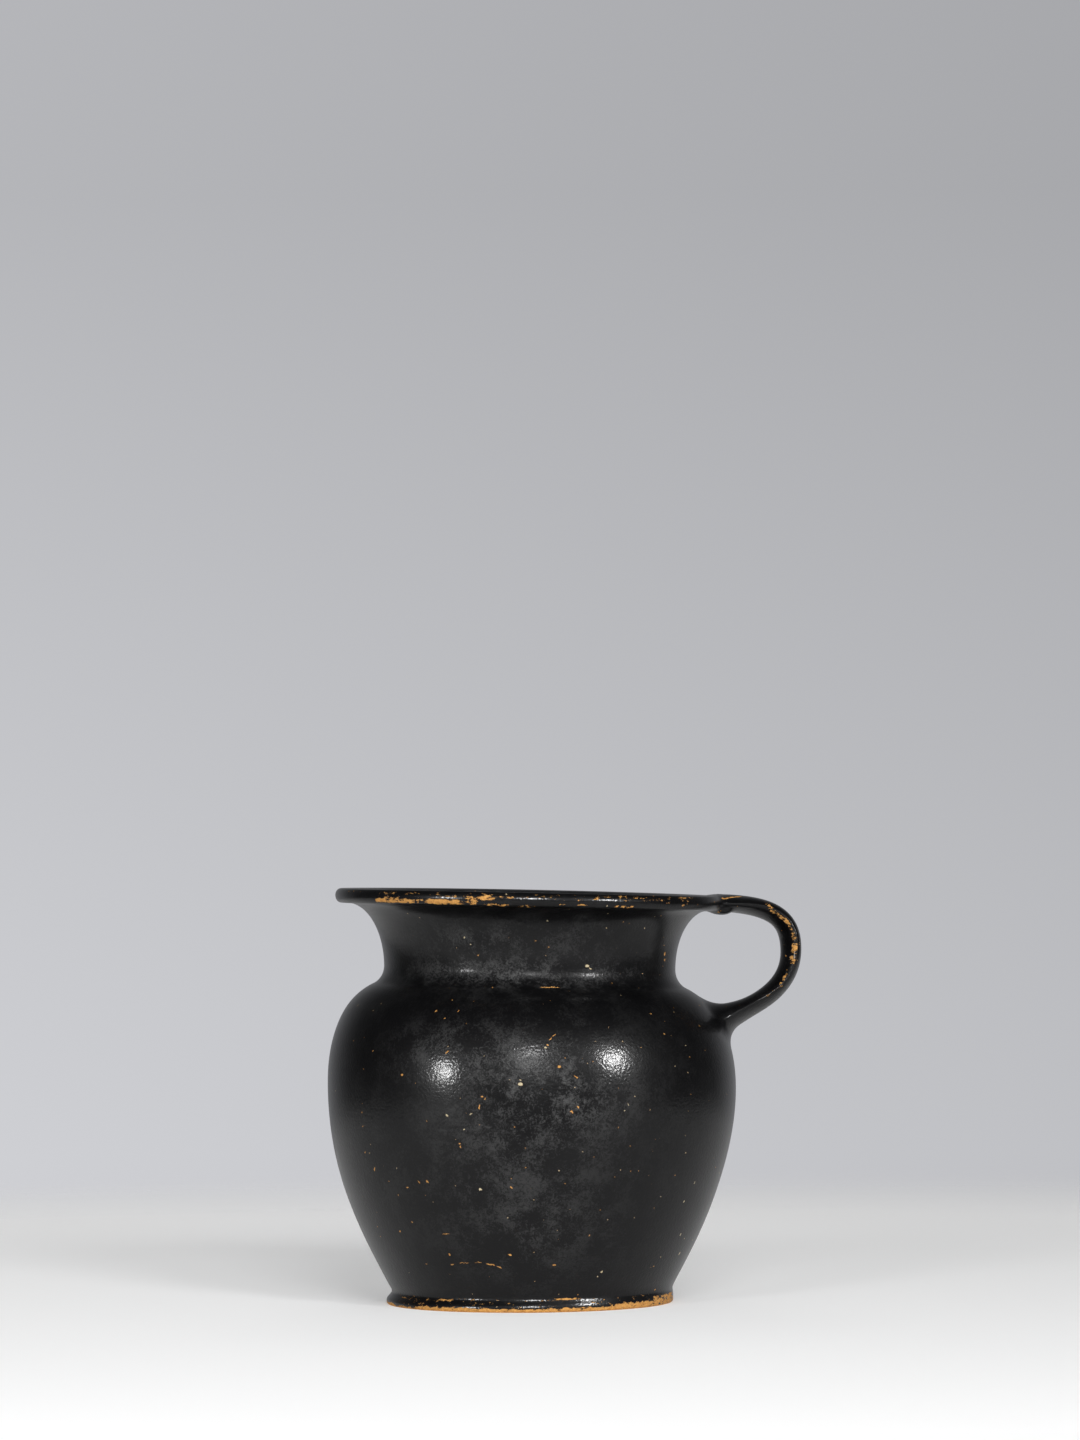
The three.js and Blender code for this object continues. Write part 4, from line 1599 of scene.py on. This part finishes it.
@dataclass(frozen=True)
class Studio:
    """A pale table with painted light on it, plain grey surroundings, soft lights and the camera, in metres
    and degrees.

    What a glossy surface mirrors is darker than the wall that the camera sees. Each range says
    between which two values a brightness changes, and from what to what.
    """

    camera_distance: float = 1.501
    camera_height: float = 0.1118
    camera_aside: float = -0.00023
    focal_px: float = 6150.0
    picture_height_px: float = 1440.0
    sensor: float = 36.0
    yaw: float = 0.1453
    pitch: float = 1.146
    roll: float = 0.45
    aim: tuple[float, float, float] = (0.0, 0.0, 0.05)
    floor_radius: float = 0.62
    floor_fade: float = 0.34
    floor_corners: int = 96
    floor_rim: float = 0.01
    # Painted light: the table's colour is lighter on the left and darker on the right, as the studio's
    # light falls on it.
    table_painted_falloff_by_side: Range = (-0.15, 0.15, 0.745, 0.675)
    table_roughness: float = 0.9
    # Painted light: the table glows by this much, in its own colour, standing in for soft light that the
    # vessel casts no shadow from.
    table_painted_glow: float = 0.44
    wall_colour: str = "#f9faff"
    wall_by_height: Range = (-0.05, 0.105, 0.605, 0.45)
    wall_by_side: Range = (-0.2, 0.2, 1.19, 0.81)
    mirrored_by_depth: Range = (0.5, 0.95, 0.0, 0.5)
    mirrored_by_height: Range = (0.6, 0.0, 0.1, 1.0)
    mirrored_slope: float = 0.2
    mirrored_middle: float = 0.9
    mirrored_least: float = 0.045
    room_light: float = 0.05
    lights: tuple[Softbox, ...] = (
        Softbox("glint_left", (-0.74, -0.645, 0.143), 1.2, 0.15, 0.2, 9.5),
        Softbox("glint_right", (0.724, -0.664, 0.305), 1.2, 0.17, 0.2, 13.5),
        Softbox("glint_front", (0.02, -0.96, 0.31), 1.5, 0.32, 0.28, 21.0),
        Softbox("fill_front", (0.06, -0.85, 0.42), 1.6, 0.5, 0.4, 11.7, Job.FILL),
        Softbox("fill_left", (-0.4, -0.85, 0.42), 1.5, 0.4, 0.4, 5.0, Job.FILL),
        Softbox("fill_right", (0.4, -0.85, 0.42), 1.5, 0.4, 0.4, 10.0, Job.FILL),
        Softbox("fill_back", (0.0, 0.6, 0.8), 1.5, 0.9, 0.6, 2.2, Job.FILL),
        Softbox("fill_above", (0.0, -0.08, 1.0), 1.5, 0.9, 0.9, 1.5, Job.FILL),
    )

    def build_camera(self) -> None:
        """Sets up the camera: level aim, then pitch, yaw and a slight roll."""
        data = bpy.data.cameras.new("camera")
        data.sensor_fit = "VERTICAL"
        data.sensor_height = self.sensor
        data.sensor_width = self.sensor
        data.lens = self.sensor * self.focal_px / self.picture_height_px
        data.clip_start = 0.05
        data.clip_end = 20
        camera = bpy.data.objects.new("camera", data)
        turn = (
            Matrix.Rotation(math.radians(-self.yaw), 4, "Z")
            @ Matrix.Rotation(math.radians(90 + self.pitch), 4, "X")
            @ Matrix.Rotation(math.radians(-self.roll), 4, "Z")
        )
        place = (self.camera_aside, -self.camera_distance, self.camera_height)
        camera.matrix_world = Matrix.Translation(place) @ turn
        bpy.context.scene.collection.objects.link(camera)
        bpy.context.scene.camera = camera

    def build_floor(self) -> None:
        """Lays a pale round table that fades out at its edge and isn't there from below. It carries painted
        light: its colour falls off to the right, and it glows in place of soft light that casts no shadow.
        """
        turn = np.linspace(0, 2 * np.pi, self.floor_corners, endpoint=False)
        ring = np.column_stack([np.cos(turn), np.sin(turn), np.zeros_like(turn)]) * self.floor_radius
        mesh = bpy.data.meshes.new("table")
        mesh.from_pydata(ring.tolist(), [], [list(range(self.floor_corners))])
        floor = bpy.data.objects.new("table", mesh)
        bpy.context.scene.collection.objects.link(floor)
        material = bpy.data.materials.new("matt_white_table_painted_light")
        material.use_nodes = True
        tree = material.node_tree
        tree.nodes.clear()
        place = add_node(tree, "ShaderNodeTexCoord").outputs["Object"]
        away = add_node(tree, "ShaderNodeVectorMath", {0: place}, operation="LENGTH").outputs["Value"]
        outer = {"Value": away, "From Min": self.floor_fade, "From Max": self.floor_radius - self.floor_rim}
        fade = add_node(tree, "ShaderNodeMapRange", outer, interpolation_type="SMOOTHSTEP").outputs[0]
        parts = add_node(tree, "ShaderNodeSeparateXYZ", {0: place}).outputs
        # Painted light: the colour falls off from left to right, as light on the table does.
        across = {"Value": parts["X"], **dict(zip(RANGE, self.table_painted_falloff_by_side))}
        pale = add_node(tree, "ShaderNodeMapRange", across).outputs["Result"]
        # Painted light: the same colour also glows from the table, in place of soft light that casts no
        # shadow.
        matt = {
            "Base Color": pale,
            "Roughness": self.table_roughness,
            "Specular IOR Level": 0.0,
            "Emission Color": pale,
            "Emission Strength": self.table_painted_glow,
        }
        paint = add_node(tree, "ShaderNodeBsdfPrincipled", matt).outputs["BSDF"]
        clear = add_node(tree, "ShaderNodeBsdfTransparent").outputs["BSDF"]
        from_below = add_node(tree, "ShaderNodeNewGeometry").outputs["Backfacing"]
        gone = add_node(tree, "ShaderNodeMath", {0: fade, 1: from_below}, operation="MAXIMUM").outputs[0]
        mixed = add_node(tree, "ShaderNodeMixShader", {0: gone, 1: paint, 2: clear})
        add_node(tree, "ShaderNodeOutputMaterial", {"Surface": mixed.outputs["Shader"]})
        mesh.materials.append(material)

    def build_surroundings(self) -> None:
        """Sets the plain surroundings: a grey wall to look at, a darker room in the reflections."""
        world = bpy.data.worlds.new("studio")
        world.use_nodes = True
        tree = world.node_tree
        tree.nodes.clear()
        way = add_node(tree, "ShaderNodeTexCoord").outputs["Generated"]
        parts = add_node(tree, "ShaderNodeSeparateXYZ", {0: way}).outputs
        up = {"Value": parts["Z"], **dict(zip(RANGE, self.wall_by_height))}
        height = add_node(tree, "ShaderNodeMapRange", up).outputs["Result"]
        across = {"Value": parts["X"], **dict(zip(RANGE, self.wall_by_side))}
        side = add_node(tree, "ShaderNodeMapRange", across).outputs["Result"]
        seen = add_node(tree, "ShaderNodeMath", {0: height, 1: side}, operation="MULTIPLY").outputs[0]
        soft = {"interpolation_type": "SMOOTHSTEP"}
        back = {"Value": parts["Y"], **dict(zip(RANGE, self.mirrored_by_depth))}
        behind = add_node(tree, "ShaderNodeMapRange", back, **soft).outputs["Result"]
        down = {"Value": parts["Z"], **dict(zip(RANGE, self.mirrored_by_height))}
        low = add_node(tree, "ShaderNodeMapRange", down, **soft).outputs["Result"]
        brighter = {0: parts["X"], 1: self.mirrored_slope, 2: self.mirrored_middle}
        right = add_node(tree, "ShaderNodeMath", brighter, operation="MULTIPLY_ADD").outputs[0]
        lit = add_node(tree, "ShaderNodeMath", {0: low, 1: right}, operation="MULTIPLY").outputs[0]
        added = {0: behind, 1: lit, 2: self.mirrored_least}
        mirrored = add_node(tree, "ShaderNodeMath", added, operation="MULTIPLY_ADD").outputs[0]
        path = add_node(tree, "ShaderNodeLightPath").outputs
        matt_light = {"Factor": path["Is Diffuse Ray"], "A": mirrored, "B": self.room_light}
        room = add_node(tree, "ShaderNodeMix", matt_light, data_type="FLOAT").outputs[0]
        all_light = {"Factor": path["Is Camera Ray"], "A": room, "B": seen}
        strength = add_node(tree, "ShaderNodeMix", all_light, data_type="FLOAT").outputs[0]
        wall = {"Color": linear(self.wall_colour), "Strength": strength}
        backdrop = add_node(tree, "ShaderNodeBackground", wall)
        add_node(tree, "ShaderNodeOutputWorld", {"Surface": backdrop.outputs[0]})
        bpy.context.scene.world = world

    def build(self) -> None:
        """Builds the whole studio and keeps colours as plain sRGB."""
        bpy.context.scene.view_settings.view_transform = "Standard"
        self.build_camera()
        self.build_floor()
        self.build_surroundings()
        for light in self.lights:
            light.build(Vector(self.aim))


def main() -> None:
    """Builds the vessel and the studio in order and reports each piece."""
    logging.basicConfig(level=logging.INFO, format="%(message)s")
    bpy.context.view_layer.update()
    Studio().build()
    LOG.info("studio: camera, table, surroundings and lights")
    vessel = Vessel()
    piece = vessel.build()
    vessel.dress(piece)
    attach(piece, "root")
    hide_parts("oinochoe")
    LOG.info("%s: %d faces", piece.name, len(piece.data.polygons))


if __name__ == "__main__":
    main()
